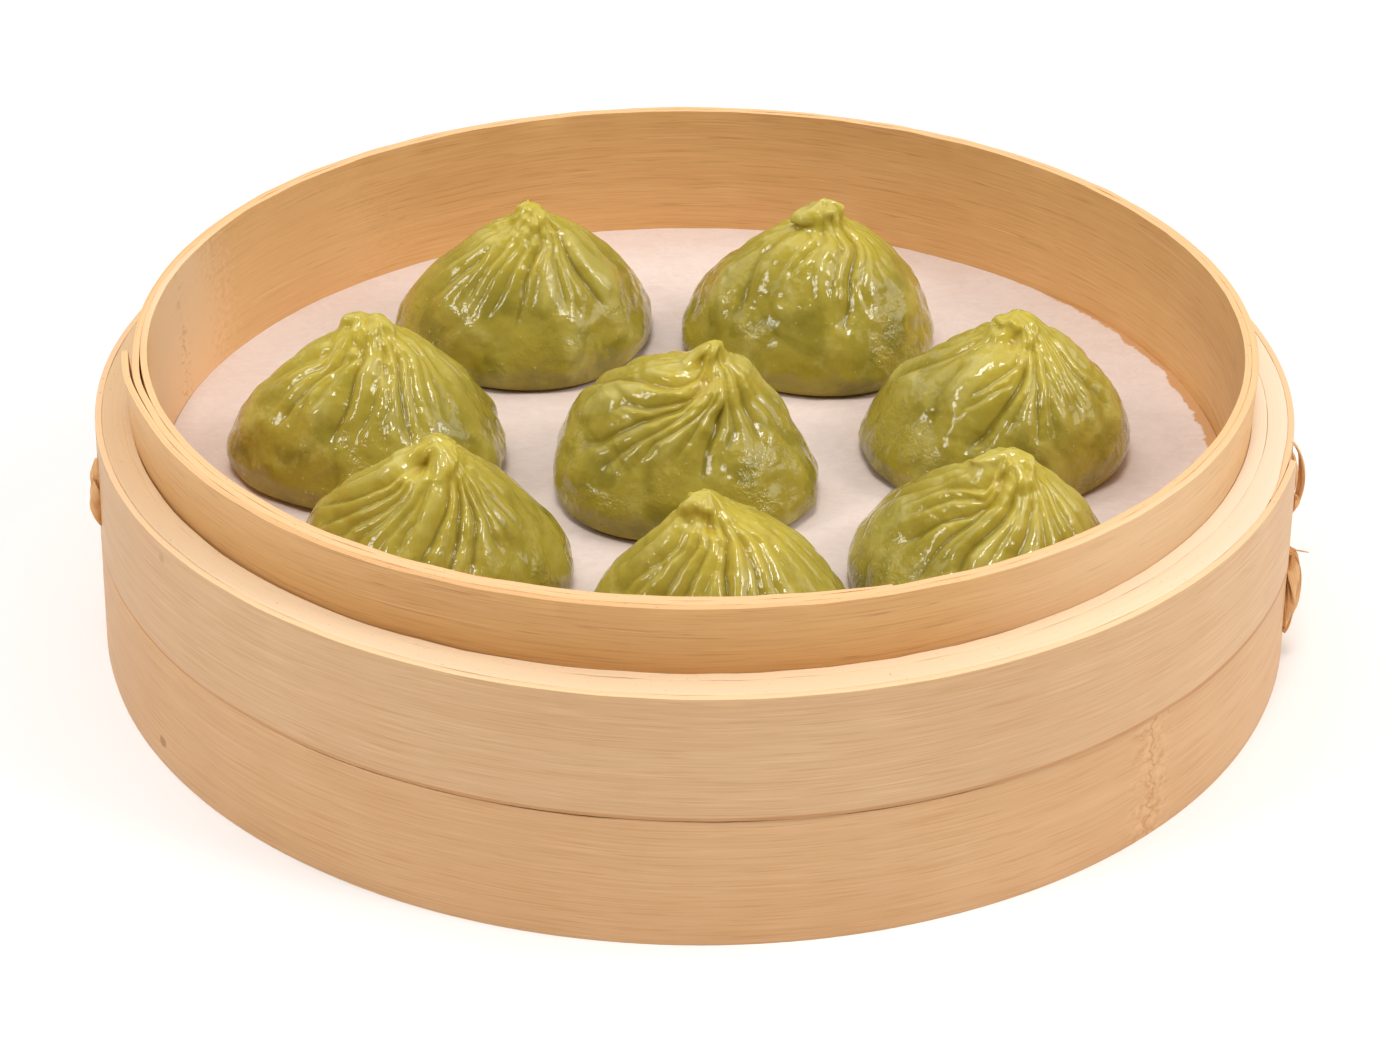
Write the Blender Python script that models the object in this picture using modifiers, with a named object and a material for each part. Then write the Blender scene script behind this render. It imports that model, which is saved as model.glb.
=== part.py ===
"""Soup dumplings in a round bamboo steamer basket.

Eight pleated dumplings stand on a round paper liner in one open steamer tier.
The tier is a wound inner hoop, two packing hoops, two wall bands and a slatted
floor. Rattan lashings hold the wall bands. Metres, +Z up. The origin is on the
table under the centre of the wall, and -Y is the front of the basket.
"""

import math

import bmesh
import bpy
from mathutils import Vector

MM = 0.001
SEGMENTS = 60
STEP = 360.0 / SEGMENTS

# Heights in millimetres above the table.
RECESS_TOP = 13.0
LEDGE_TOP = 46.5
RIM_TOP = 58.3
SEAM = 23.9
SEAM_GAP = 0.3
LINER_TOP = 30.2
DUMPLING_BASE = 30.5

# The inner hoop is one long strip, wound clockwise from its inner end.
HOOP_CENTRE = (-0.6, -0.6)
HOOP_START_RADIUS = 101.0
HOOP_PLY = 1.2
HOOP_PITCH = 1.27
HOOP_INNER_END = -72.0
HOOP_TURNS_DEGREES = 818.0
HOOP_SPLAY = 1.0
HOOP_SPLAY_LENGTH = 26.0
HOOP_SPRING = 0.7
HOOP_SPRING_ANGLE = -163.5
HOOP_SPRING_WIDTH = 4.5

# The two packing hoops that make the ledge.
SPLIT_CENTRE = (-0.3, -0.2)
SPLIT_RADIUS = 107.2
FIT_GAP = 0.25

# The wall bands lean outwards a little towards the table.
BAND_PLY = 1.2
WALL_FOOT_RADIUS = 115.0
WALL_LEAN = 0.05
UPPER_END_RADIUS = 113.1
UPPER_END_ANGLE = -18.0
UPPER_PITCH = 1.3
UPPER_OVERLAP = 8.0
UPPER_END_LIFT = 0.9
UPPER_END_LENGTH = 8.0

# The floor: slats on two battens on a rest hoop.
FLOOR_RADIUS = 100.3
SLAT_COUNT = 9
SLAT_WIDTH = 20.4
SLAT_SPACING = 22.3
SLAT_BOTTOM = 26.9
SLAT_THICKNESS = 2.6
BATTEN_X = 46.0
BATTEN_WIDTH = 14.0
BATTEN_BOTTOM = 22.8
BATTEN_THICKNESS = 3.8
REST_INNER_RADIUS = 98.0
REST_BOTTOM = 13.5
REST_TOP = 22.5

# The paper liner.
LINER_CENTRE = (-1.2, -0.2)
LINER_RADIUS = 98.2
LINER_THICKNESS = 0.4

# Each dumpling: centre x and y, height, radius, tip offset, shoulder offset,
# oval (cos, sin), three-lobed (cos, sin), pleats, swirl in degrees, first
# pleat in degrees. Lengths in millimetres.
DUMPLINGS = {
    "dumpling_back_left": (
        (-34.8, 39.8), 31.8, 24.6, (0.7, -2.0), (-0.2, 0.5),
        (0.039, 0.059), (-0.047, 0.009), 18, 34.0, 4.0,
    ),
    "dumpling_back_right": (
        (23.4, 40.1), 32.7, 25.1, (1.2, -0.4), (0.6, 0.5),
        (0.016, 0.0), (-0.033, 0.002), 18, 26.0, 11.0,
    ),
    "dumpling_left": (
        (-60.9, -11.1), 31.8, 24.9, (0.3, 0.1), (-0.1, -0.3),
        (0.033, -0.024), (-0.064, -0.014), 18, 22.0, 7.0,
    ),
    "dumpling_centre": (
        (-2.8, -20.1), 31.9, 23.6, (5.0, -1.6), (-2.6, 1.7),
        (0.028, -0.045), (0.040, -0.034), 18, 48.0, 2.0,
    ),
    "dumpling_front_left": (
        (-45.3, -58.0), 32.0, 23.0, (1.3, -1.6), (-1.9, 0.6),
        (0.021, 0.018), (-0.014, 0.050), 18, 30.0, 14.0,
    ),
    "dumpling_right": (
        (56.5, -5.5), 31.8, 24.7, (2.9, -1.7), (0.8, -1.2),
        (0.018, 0.006), (0.022, 0.021), 18, 38.0, 9.0,
    ),
    "dumpling_front": (
        (4.5, -76.4), 30.6, 22.6, (-2.4, 2.2), (1.9, 0.7),
        (0.023, -0.060), (-0.050, -0.014), 18, 24.0, 0.0,
    ),
    "dumpling_front_right": (
        (49.0, -56.9), 30.2, 23.6, (3.6, -1.4), (0.7, -0.2),
        (-0.040, -0.009), (0.040, 0.013), 18, 42.0, 16.0,
    ),
}
# Share of the radius at each share of the height.
BELL_PROFILE = (
    (0.0, 0.90), (0.13, 1.0), (0.30, 0.96), (0.48, 0.80), (0.65, 0.60),
    (0.80, 0.37), (0.90, 0.18), (0.96, 0.155), (1.0, 0.09),
)
# Depth of the pleats, as a share of the radius, at the same heights.
PLEAT_DEPTH = (0.0, 0.010, 0.032, 0.062, 0.082, 0.10, 0.12, 0.14, 0.10)
TIP_SHARE = (0.0, 0.05, 0.12, 0.26, 0.47, 0.78, 1.0, 1.0, 1.0)
SHOULDER_SHARE = (0.0, 0.15, 0.50, 0.90, 1.0, 0.62, 0.28, 0.1, 0.0)
DUMPLING_SEGMENTS = 36

# Each lashing: azimuth in degrees, top and bottom height, reach off the wall.
LASHINGS = {
    "lashing_left": (-164.5, 42.0, 28.0, 1.7),
    "lashing_right_upper": (-14.6, 45.6, 33.0, 1.9),
    "lashing_right_lower": (-14.6, 26.0, 6.5, 2.2),
}
LASHING_RADIUS = 1.15
LASHING_LOBE = 0.4
LASHING_STATIONS = 13
LASHING_SIDES = 8
LASHING_TURNS = 1.1


def clear_scene():
    """Remove every object of the startup scene."""
    for obj in list(bpy.data.objects):
        bpy.data.objects.remove(obj, do_unlink=True)


def material(name, colour, roughness):
    """A Principled material with one colour and roughness."""
    mat = bpy.data.materials.new(name)
    mat.use_nodes = True
    shader = mat.node_tree.nodes["Principled BSDF"]
    shader.inputs["Base Color"].default_value = (*colour, 1.0)
    shader.inputs["Roughness"].default_value = roughness
    shader.inputs["Metallic"].default_value = 0.0
    mat.diffuse_color = (*colour, 1.0)
    return mat


def add_object(name, mesh, collection, parent, mat):
    """Put a mesh into a collection as a named, parented, coloured object."""
    obj = bpy.data.objects.new(name, mesh)
    collection.objects.link(obj)
    obj.parent = parent
    if mat is not None:
        mesh.materials.append(mat)
    return obj


def mesh_from_bmesh(name, bm):
    """Turn a bmesh with outward faces into mesh data."""
    bmesh.ops.recalc_face_normals(bm, faces=bm.faces)
    mesh = bpy.data.meshes.new(name)
    bm.to_mesh(mesh)
    bm.free()
    return mesh


def loft(name, sections, closed):
    """Skin equal-length sections of points, round in a ring or capped."""
    bm = bmesh.new()
    rows = [[bm.verts.new(Vector(p) * MM) for p in row] for row in sections]
    pairs = list(zip(rows, rows[1:]))
    if closed:
        pairs.append((rows[-1], rows[0]))
    count = len(rows[0])
    for first, second in pairs:
        for i in range(count):
            j = (i + 1) % count
            bm.faces.new((first[i], first[j], second[j], second[i]))
    if not closed:
        bm.faces.new(rows[0])
        bm.faces.new(list(reversed(rows[-1])))
    return mesh_from_bmesh(name, bm)


def polar(centre, radius, degrees, z):
    """A point at a radius and an azimuth about a centre, in millimetres."""
    angle = math.radians(degrees)
    x = centre[0] + radius * math.cos(angle)
    y = centre[1] + radius * math.sin(angle)
    return (x, y, z)


def smooth(value):
    """A smooth rise from 0 to 1 over the same range."""
    t = min(max(value, 0.0), 1.0)
    return t * t * (3.0 - 2.0 * t)


def turn_between(start, degrees):
    """How far clockwise an azimuth is from a start, 0 to 360."""
    return (start - degrees) % 360.0


# The inner hoop


def hoop_inner_face(turned):
    """Radius of the strip's inner face after a number of degrees of winding."""
    return HOOP_START_RADIUS + HOOP_PITCH * turned / 360.0


def hoop_lift(turned):
    """Extra radius at the rim, where the outer plies spring off the first."""
    lift = 0.0
    azimuth = HOOP_INNER_END - turned
    away = (azimuth - HOOP_SPRING_ANGLE + 180.0) % 360.0 - 180.0
    if turned > 300.0:
        lift += HOOP_SPRING * math.exp(-((away / HOOP_SPRING_WIDTH) ** 2))
    loose = turned - (HOOP_TURNS_DEGREES - HOOP_SPLAY_LENGTH)
    if loose > 0.0:
        lift += HOOP_SPLAY * (loose / HOOP_SPLAY_LENGTH) ** 2
    return lift


def build_inner_hoop():
    """The wound strip: scarfed inner end, sprung outer end."""
    turns = [i * STEP for i in range(int(HOOP_TURNS_DEGREES // STEP) + 1)]
    turns.append(HOOP_TURNS_DEGREES)
    sections = []
    for turned in turns:
        azimuth = HOOP_INNER_END - turned
        inner = hoop_inner_face(turned)
        scarf = 0.55 * (1.0 - smooth(turned / (2.0 * STEP)))
        outer = inner + HOOP_PLY
        inner += scarf * HOOP_PLY
        lift = hoop_lift(turned)
        low = 0.15 * lift
        sections.append([
            polar(HOOP_CENTRE, inner, azimuth, RECESS_TOP),
            polar(HOOP_CENTRE, outer, azimuth, RECESS_TOP),
            polar(HOOP_CENTRE, outer + low, azimuth, LEDGE_TOP),
            polar(HOOP_CENTRE, outer + lift, azimuth, RIM_TOP),
            polar(HOOP_CENTRE, inner + lift, azimuth, RIM_TOP),
            polar(HOOP_CENTRE, inner + low, azimuth, LEDGE_TOP),
        ])
    return loft("inner_hoop", sections, False)


# The ledge and the wall


def ledge_inner_radius(degrees):
    """Radius of the ledge's inner edge, about the inner hoop's centre."""
    behind_end = turn_between(HOOP_INNER_END, degrees)
    last = HOOP_TURNS_DEGREES - 720.0
    base = hoop_inner_face(360.0 + behind_end) + HOOP_PLY
    if behind_end <= last + STEP:
        ply = HOOP_PITCH
    else:
        ply = HOOP_PITCH * (1.0 - smooth((behind_end - last - STEP) / 12.0))
    wrap = 0.0
    if behind_end > 360.0 - 2.0 * STEP:
        wrap = HOOP_PITCH * smooth(1.0 - (360.0 - behind_end) / (2.0 * STEP))
    spring = 0.15 * HOOP_SPRING
    return base + max(ply, wrap) + FIT_GAP + spring * 1.2


def build_spacer_hoop():
    """The inner packing hoop, against the inner hoop."""
    sections = []
    for i in range(SEGMENTS):
        azimuth = i * STEP
        inner = ledge_inner_radius(azimuth)
        sections.append([
            polar(HOOP_CENTRE, inner, azimuth, RECESS_TOP),
            polar(SPLIT_CENTRE, SPLIT_RADIUS, azimuth, RECESS_TOP),
            polar(SPLIT_CENTRE, SPLIT_RADIUS, azimuth, LEDGE_TOP),
            polar(HOOP_CENTRE, inner, azimuth, LEDGE_TOP),
        ])
    return loft("spacer_hoop", sections, True)


def wall_lean(z):
    """How much further out than its top edge the wall is at a height."""
    return WALL_LEAN * (LEDGE_TOP - z)


def upper_outer_face(turned, z):
    """Radius of the upper band's outer face, wound from its free end."""
    lift = 0.0
    if turned < UPPER_END_LENGTH:
        lift = UPPER_END_LIFT * (1.0 - turned / UPPER_END_LENGTH) ** 2
        lift *= (z - SEAM) / (LEDGE_TOP - SEAM)
    radius = UPPER_END_RADIUS - UPPER_PITCH * turned / 360.0
    return radius + wall_lean(z) + lift


def core_outer_radius(azimuth, z):
    """The core hoop fills the room inside the wall bands."""
    foot = WALL_FOOT_RADIUS - BAND_PLY - FIT_GAP
    if z <= 0.0:
        return foot
    turned = turn_between(UPPER_END_ANGLE, azimuth)
    if turned < UPPER_OVERLAP + STEP:
        turned += 360.0
        return upper_outer_face(turned, z) - BAND_PLY - FIT_GAP
    face = upper_outer_face(turned, z) - BAND_PLY - FIT_GAP
    start = upper_outer_face(360.0 + UPPER_OVERLAP, z) - BAND_PLY - FIT_GAP
    blend = smooth((turned - UPPER_OVERLAP - STEP) / (2.0 * STEP))
    return start + (face - start) * blend


def build_core_hoop():
    """The outer packing hoop, which also stands on the table."""
    sections = []
    for i in range(SEGMENTS):
        azimuth = i * STEP
        middle = core_outer_radius(azimuth, SEAM)
        middle = min(middle, WALL_FOOT_RADIUS - WALL_LEAN * SEAM - 1.7)
        top = core_outer_radius(azimuth, LEDGE_TOP)
        inner = SPLIT_RADIUS + FIT_GAP
        foot = core_outer_radius(azimuth, 0.0)
        sections.append([
            polar(SPLIT_CENTRE, inner, azimuth, 0.0),
            polar((0.0, 0.0), foot, azimuth, 0.0),
            polar((0.0, 0.0), middle, azimuth, SEAM),
            polar((0.0, 0.0), top, azimuth, LEDGE_TOP),
            polar(SPLIT_CENTRE, inner, azimuth, LEDGE_TOP),
        ])
    return loft("core_hoop", sections, True)


def build_upper_band():
    """The upper wall strip, lapped over itself at its free end."""
    bottom = SEAM + SEAM_GAP
    last = 360.0 + UPPER_OVERLAP
    turns = [i * STEP for i in range(int(last // STEP) + 1)] + [last]
    sections = []
    for turned in turns:
        azimuth = UPPER_END_ANGLE - turned
        low = upper_outer_face(turned, bottom)
        high = upper_outer_face(turned, LEDGE_TOP)
        sections.append([
            polar((0.0, 0.0), low - BAND_PLY, azimuth, bottom),
            polar((0.0, 0.0), low, azimuth, bottom),
            polar((0.0, 0.0), high, azimuth, LEDGE_TOP),
            polar((0.0, 0.0), high - BAND_PLY, azimuth, LEDGE_TOP),
        ])
    return loft("wall_band_upper", sections, False)


def screw_ring(name, profile, collection, parent, mat):
    """Turn a closed profile of (radius, z) once round the vertical axis."""
    mesh = bpy.data.meshes.new(name)
    points = [(r * MM, 0.0, z * MM) for r, z in profile]
    count = len(points)
    edges = [(i, (i + 1) % count) for i in range(count)]
    mesh.from_pydata(points, edges, [])
    obj = add_object(name, mesh, collection, parent, mat)
    turn = obj.modifiers.new("Turn", "SCREW")
    turn.axis = "Z"
    turn.angle = math.radians(360.0)
    turn.steps = SEGMENTS
    turn.render_steps = SEGMENTS
    turn.use_merge_vertices = True
    turn.merge_threshold = 0.00001
    turn.use_normal_flip = True
    turn.use_smooth_shade = False
    return obj


# The floor and the liner


def add_trim(obj, cutter):
    """Trim a floor piece to the round of the hoop."""
    trim = obj.modifiers.new("Round", "BOOLEAN")
    trim.operation = "INTERSECT"
    trim.solver = "EXACT"
    trim.object = cutter


def add_box(name, size, place, collection, parent, mat):
    """A box primitive of a size in millimetres about its own centre."""
    bm = bmesh.new()
    bmesh.ops.create_cube(bm, size=1.0)
    bmesh.ops.scale(bm, vec=Vector(size) * MM, verts=bm.verts)
    obj = add_object(name, mesh_from_bmesh(name, bm), collection, parent, mat)
    obj.location = Vector(place) * MM
    return obj


def build_floor_cutter(collection, parent):
    """The round that the slats and battens are trimmed to."""
    bm = bmesh.new()
    bmesh.ops.create_cone(
        bm,
        cap_ends=True,
        segments=SEGMENTS,
        radius1=FLOOR_RADIUS * MM,
        radius2=FLOOR_RADIUS * MM,
        depth=60.0 * MM,
    )
    mesh = mesh_from_bmesh("floor_round", bm)
    obj = add_object("floor_round", mesh, collection, parent, None)
    obj.location = Vector((HOOP_CENTRE[0], HOOP_CENTRE[1], 25.0)) * MM
    obj.hide_render = True
    obj.display_type = "WIRE"
    return obj


def build_floor(collection, parent, cutter, mat):
    """Slats from side to side, on two battens from front to back."""
    slat_z = SLAT_BOTTOM + SLAT_THICKNESS / 2.0
    for i in range(SLAT_COUNT):
        y = HOOP_CENTRE[1] + (i - (SLAT_COUNT - 1) / 2.0) * SLAT_SPACING
        size = (212.0, SLAT_WIDTH, SLAT_THICKNESS)
        place = (HOOP_CENTRE[0], y, slat_z)
        name = f"floor_slat_{i + 1}"
        slat = add_box(name, size, place, collection, parent, mat)
        add_trim(slat, cutter)
    batten_z = BATTEN_BOTTOM + BATTEN_THICKNESS / 2.0
    for side, name in ((-1.0, "floor_batten_left"), (1.0, "floor_batten_right")):
        size = (BATTEN_WIDTH, 212.0, BATTEN_THICKNESS)
        place = (HOOP_CENTRE[0] + side * BATTEN_X, HOOP_CENTRE[1], batten_z)
        batten = add_box(name, size, place, collection, parent, mat)
        add_trim(batten, cutter)


def liner_edge(degrees):
    """Radius of the liner's hand-cut edge."""
    angle = math.radians(degrees)
    wave = 0.55 * math.sin(3.0 * angle + 0.7) + 0.35 * math.sin(7.0 * angle)
    return LINER_RADIUS + wave


def build_liner(collection, parent, mat):
    """A thin round sheet, given its thickness by Solidify."""
    bm = bmesh.new()
    z = LINER_TOP - LINER_THICKNESS
    centre = bm.verts.new(Vector((0.0, 0.0, 0.0)))
    ring = []
    for i in range(SEGMENTS):
        x, y, _ = polar((0.0, 0.0), liner_edge(i * STEP), i * STEP, 0.0)
        ring.append(bm.verts.new(Vector((x, y, 0.0)) * MM))
    for first, second in zip(ring, ring[1:] + ring[:1]):
        bm.faces.new((centre, first, second))
    mesh = bpy.data.meshes.new("paper_liner")
    bm.to_mesh(mesh)
    bm.free()
    obj = add_object("paper_liner", mesh, collection, parent, mat)
    obj.location = Vector((LINER_CENTRE[0], LINER_CENTRE[1], z)) * MM
    thick = obj.modifiers.new("Thickness", "SOLIDIFY")
    thick.thickness = LINER_THICKNESS * MM
    thick.offset = 1.0
    return obj


# The dumplings


def dumpling_row(shape, level):
    """The points of a dumpling at one level of the bell."""
    _, height, radius, tip, shoulder, oval, lobed, pleats, swirl, first = shape
    share, width = BELL_PROFILE[level]
    depth = PLEAT_DEPTH[level]
    shift_x = tip[0] * TIP_SHARE[level] + shoulder[0] * SHOULDER_SHARE[level]
    shift_y = tip[1] * TIP_SHARE[level] + shoulder[1] * SHOULDER_SHARE[level]
    twist = swirl * smooth((share - 0.25) / 0.75)
    row = []
    for i in range(DUMPLING_SEGMENTS):
        base = i * 360.0 / DUMPLING_SEGMENTS + first
        angle = math.radians(base)
        fold = math.cos(pleats * (angle - math.radians(first)))
        uneven = 0.75 + 0.25 * math.sin(3.0 * angle + pleats + swirl)
        outline = 1.0 + oval[0] * math.cos(2.0 * angle)
        outline += oval[1] * math.sin(2.0 * angle)
        outline += lobed[0] * math.cos(3.0 * angle)
        outline += lobed[1] * math.sin(3.0 * angle)
        reach = radius * width * outline * (1.0 + depth * uneven * fold)
        turned = angle + math.radians(twist)
        x = shift_x + reach * math.cos(turned)
        y = shift_y + reach * math.sin(turned)
        row.append((x, y, share * height))
    return row


def build_dumpling(name, shape, collection, parent, mat):
    """One pleated dumpling, standing at its own place on the liner."""
    rows = [dumpling_row(shape, i) for i in range(len(BELL_PROFILE))]
    bm = bmesh.new()
    rings = [[bm.verts.new(Vector(p) * MM) for p in row] for row in rows]
    count = DUMPLING_SEGMENTS
    for low, high in zip(rings, rings[1:]):
        for i in range(count):
            j = (i + 1) % count
            bm.faces.new((low[i], low[j], high[j], high[i]))
    _, height, _, tip, *_ = shape
    foot = bm.verts.new(Vector((0.0, 0.0, 0.0)))
    knot = bm.verts.new(Vector((tip[0], tip[1], height - 0.5)) * MM)
    for i in range(count):
        j = (i + 1) % count
        bm.faces.new((rings[0][j], rings[0][i], foot))
        bm.faces.new((rings[-1][i], rings[-1][j], knot))
    mesh = mesh_from_bmesh(name, bm)
    obj = add_object(name, mesh, collection, parent, mat)
    place = (shape[0][0], shape[0][1], DUMPLING_BASE)
    obj.location = Vector(place) * MM
    return obj


# The lashings


def wall_outer_radius(azimuth, z):
    """Radius of the outside of the wall at an azimuth and a height."""
    if z < SEAM:
        return WALL_FOOT_RADIUS - WALL_LEAN * z
    turned = turn_between(UPPER_END_ANGLE, azimuth)
    return upper_outer_face(turned, z)


def build_lashing(name, shape, collection, parent, mat):
    """A twisted split-rattan tie that bows off the wall between two holes."""
    azimuth, top, bottom, reach = shape
    sections = []
    side = Vector(polar((0.0, 0.0), 1.0, azimuth + 90.0, 0.0))
    out = Vector(polar((0.0, 0.0), 1.0, azimuth, 0.0))
    path = []
    for i in range(LASHING_STATIONS):
        share = i / (LASHING_STATIONS - 1)
        z = top + (bottom - top) * share
        bow = math.sin(math.pi * share) ** 0.6
        wall = wall_outer_radius(azimuth, z)
        path.append(out * (wall + 0.35 + reach * bow) + Vector((0.0, 0.0, z)))
    for i, centre in enumerate(path):
        share = i / (LASHING_STATIONS - 1)
        ahead = path[min(i + 1, len(path) - 1)]
        along = (ahead - path[max(i - 1, 0)]).normalized()
        across = along.cross(side).normalized()
        if across.dot(out) < 0.0:
            across.negate()
        thin = 0.3 + 0.7 * math.sin(math.pi * share) ** 0.5
        row = []
        for k in range(LASHING_SIDES):
            angle = 2.0 * math.pi * k / LASHING_SIDES
            lobe = math.cos(2.0 * (angle - LASHING_TURNS * math.pi * share))
            radius = thin * (LASHING_RADIUS + LASHING_LOBE * lobe)
            offset = side * math.cos(angle) + across * math.sin(angle)
            point = centre + offset * radius
            row.append(tuple(point))
        sections.append(row)
    mesh = loft(name, sections, False)
    return add_object(name, mesh, collection, parent, mat)


def main():
    """Build the basket and its dumplings."""
    clear_scene()
    scene = bpy.context.scene
    parts = bpy.data.collections.new("steamer_basket_with_dumplings")
    cutters = bpy.data.collections.new("cutters")
    scene.collection.children.link(parts)
    scene.collection.children.link(cutters)
    cutters.hide_render = True
    root = bpy.data.objects.new("basket_root", None)
    parts.objects.link(root)

    honey = material("bamboo_inner", (0.62, 0.34, 0.13), 0.5)
    pale = material("bamboo_ledge", (0.86, 0.63, 0.38), 0.55)
    wall = material("bamboo_wall", (0.68, 0.42, 0.22), 0.5)
    slat = material("bamboo_floor", (0.66, 0.43, 0.22), 0.6)
    paper = material("liner_paper", (0.84, 0.72, 0.65), 0.8)
    dough = material("spinach_dough", (0.33, 0.26, 0.035), 0.25)
    rattan = material("rattan", (0.50, 0.25, 0.09), 0.6)

    add_object("inner_hoop", build_inner_hoop(), parts, root, honey)
    add_object("spacer_hoop", build_spacer_hoop(), parts, root, pale)
    add_object("core_hoop", build_core_hoop(), parts, root, pale)
    add_object("wall_band_upper", build_upper_band(), parts, root, wall)
    lower_top = WALL_FOOT_RADIUS - WALL_LEAN * SEAM
    lower_profile = (
        (WALL_FOOT_RADIUS - BAND_PLY, 0.0),
        (WALL_FOOT_RADIUS, 0.0),
        (lower_top, SEAM),
        (lower_top - BAND_PLY, SEAM),
    )
    screw_ring("wall_band_lower", lower_profile, parts, root, wall)
    rest_profile = (
        (REST_INNER_RADIUS, REST_BOTTOM),
        (FLOOR_RADIUS, REST_BOTTOM),
        (FLOOR_RADIUS, REST_TOP),
        (REST_INNER_RADIUS, REST_TOP),
    )
    rest = screw_ring("floor_rest_hoop", rest_profile, parts, root, slat)
    rest.location = Vector((HOOP_CENTRE[0], HOOP_CENTRE[1], 0.0)) * MM

    cutter = build_floor_cutter(cutters, root)
    build_floor(parts, root, cutter, slat)
    build_liner(parts, root, paper)
    for name, shape in DUMPLINGS.items():
        build_dumpling(name, shape, parts, root, dough)
    for name, shape in LASHINGS.items():
        build_lashing(name, shape, parts, root, rattan)


main()
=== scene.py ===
"""Soup dumplings in a round bamboo steamer basket: the finished look.

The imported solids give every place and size. This script winds the hoops and
bands again as real strips with rounded arrises, grain, lamination lines and
lapped ends, folds each dumpling crease by crease, lays the paper and ties the
rattan. Lengths are in millimetres and angles in degrees until a mesh is made;
azimuths run anticlockwise from +X, and -Y is the front of the basket.
"""

import sys
import logging
import math
from collections.abc import Callable, Mapping, Sequence
from dataclasses import dataclass
from enum import Enum
from typing import Any

import bmesh
import bpy
import numpy as np
from mathutils import Matrix, Vector


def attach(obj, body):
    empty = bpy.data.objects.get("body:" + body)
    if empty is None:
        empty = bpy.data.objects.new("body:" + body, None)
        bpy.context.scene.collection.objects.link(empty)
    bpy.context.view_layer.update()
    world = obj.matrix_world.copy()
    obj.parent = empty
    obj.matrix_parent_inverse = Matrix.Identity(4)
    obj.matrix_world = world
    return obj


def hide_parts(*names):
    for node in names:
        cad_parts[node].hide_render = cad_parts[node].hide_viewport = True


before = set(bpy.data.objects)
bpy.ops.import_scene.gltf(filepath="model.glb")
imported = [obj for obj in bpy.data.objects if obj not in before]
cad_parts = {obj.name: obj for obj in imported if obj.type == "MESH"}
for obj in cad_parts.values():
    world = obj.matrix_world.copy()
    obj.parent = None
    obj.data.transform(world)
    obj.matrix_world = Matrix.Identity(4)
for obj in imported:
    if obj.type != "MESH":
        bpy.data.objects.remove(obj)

LOG = logging.getLogger("steamer_basket")
MM = 0.001
TURN = 2.0 * math.pi
GUIDE_RADIUS = 100.0  # where a strip's unevenness is read
FOOT_HEIGHT = 20.0  # a strip that starts above this stands on another one
NEVER = 2.0  # a share of the height that no valley reaches
GRAIN_RADIUS = 0.110  # turns azimuths into metres of grain
Colour = tuple[float, float, float]
Pair = tuple[float, float]


class Slot(Enum):
    """The record's material slots."""

    INNER = "bamboo_inner"
    LEDGE = "bamboo_ledge"
    WALL = "bamboo_wall"
    FLOOR = "bamboo_floor"
    PAPER = "liner_paper"
    DOUGH = "spinach_dough"
    RATTAN = "rattan"


class MarkKind(Enum):
    """The kinds of mark on a bamboo strip: natural marks, holes painted as shade, and washes of
    painted shade and painted light.
    """

    SPOT = "spot"
    NODE = "node"
    STAIN = "stain"
    PALE = "pale"
    # Painted shade: a darker wash over part of a strip that lies in shade.
    TAN = "tan"
    # Painted light: a paler wash over part of a strip where the key light falls.
    PAINTED_LIGHT = "painted_light"
    HOLE = "hole"


def tone(red: int, green: int, blue: int) -> Colour:
    """Turn a display colour of 0 to 255 into linear light.

    Args:
        red: The red value.
        green: The green value.
        blue: The blue value.

    Returns:
        The three linear values.
    """
    shares = (c / 255.0 for c in (red, green, blue))
    return tuple(c / 12.92 if c <= 0.04045 else ((c + 0.055) / 1.055) ** 2.4 for c in shares)


def smooth(value: Any) -> Any:
    """A smooth rise from 0 to 1 over the same range."""
    t = np.clip(value, 0.0, 1.0)
    return t * t * (3.0 - 2.0 * t)


def bearing(azimuth: np.ndarray) -> np.ndarray:
    """Unit vectors in the plane at azimuths in degrees, x and y on the last axis."""
    angle = np.radians(azimuth)
    return np.stack([np.cos(angle), np.sin(angle)], -1)


def wrapped(azimuth: Any) -> Any:
    """Azimuths between -180 and 180 degrees."""
    return (azimuth + 180.0) % 360.0 - 180.0


def monotone(at: Any, knots: Sequence[float], values: Sequence[float]) -> np.ndarray:
    """A smooth curve through points that never overshoots them.

    Args:
        at: Where to read the curve.
        knots: Rising places of the points.
        values: Heights of the points.

    Returns:
        The curve's heights.
    """
    x, y = np.asarray(knots, float), np.asarray(values, float)
    step, slope = np.diff(x), np.diff(y) / np.diff(x)
    tangent = np.zeros(len(x))
    for i in range(1, len(x) - 1):
        if slope[i - 1] * slope[i] > 0.0:
            first, second = 2 * step[i] + step[i - 1], step[i] + 2 * step[i - 1]
            tangent[i] = (first + second) / (first / slope[i - 1] + second / slope[i])
    tangent[0], tangent[-1] = slope[0], slope[-1]
    where = np.clip(np.asarray(at, float), x[0], x[-1])
    i = np.clip(np.searchsorted(x, where) - 1, 0, len(step) - 1)
    t = (where - x[i]) / step[i]
    return (
        y[i] * (1 + 2 * t) * (1 - t) ** 2
        + step[i] * tangent[i] * t * (1 - t) ** 2
        + y[i + 1] * t * t * (3 - 2 * t)
        + step[i] * tangent[i + 1] * t * t * (t - 1)
    )


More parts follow.
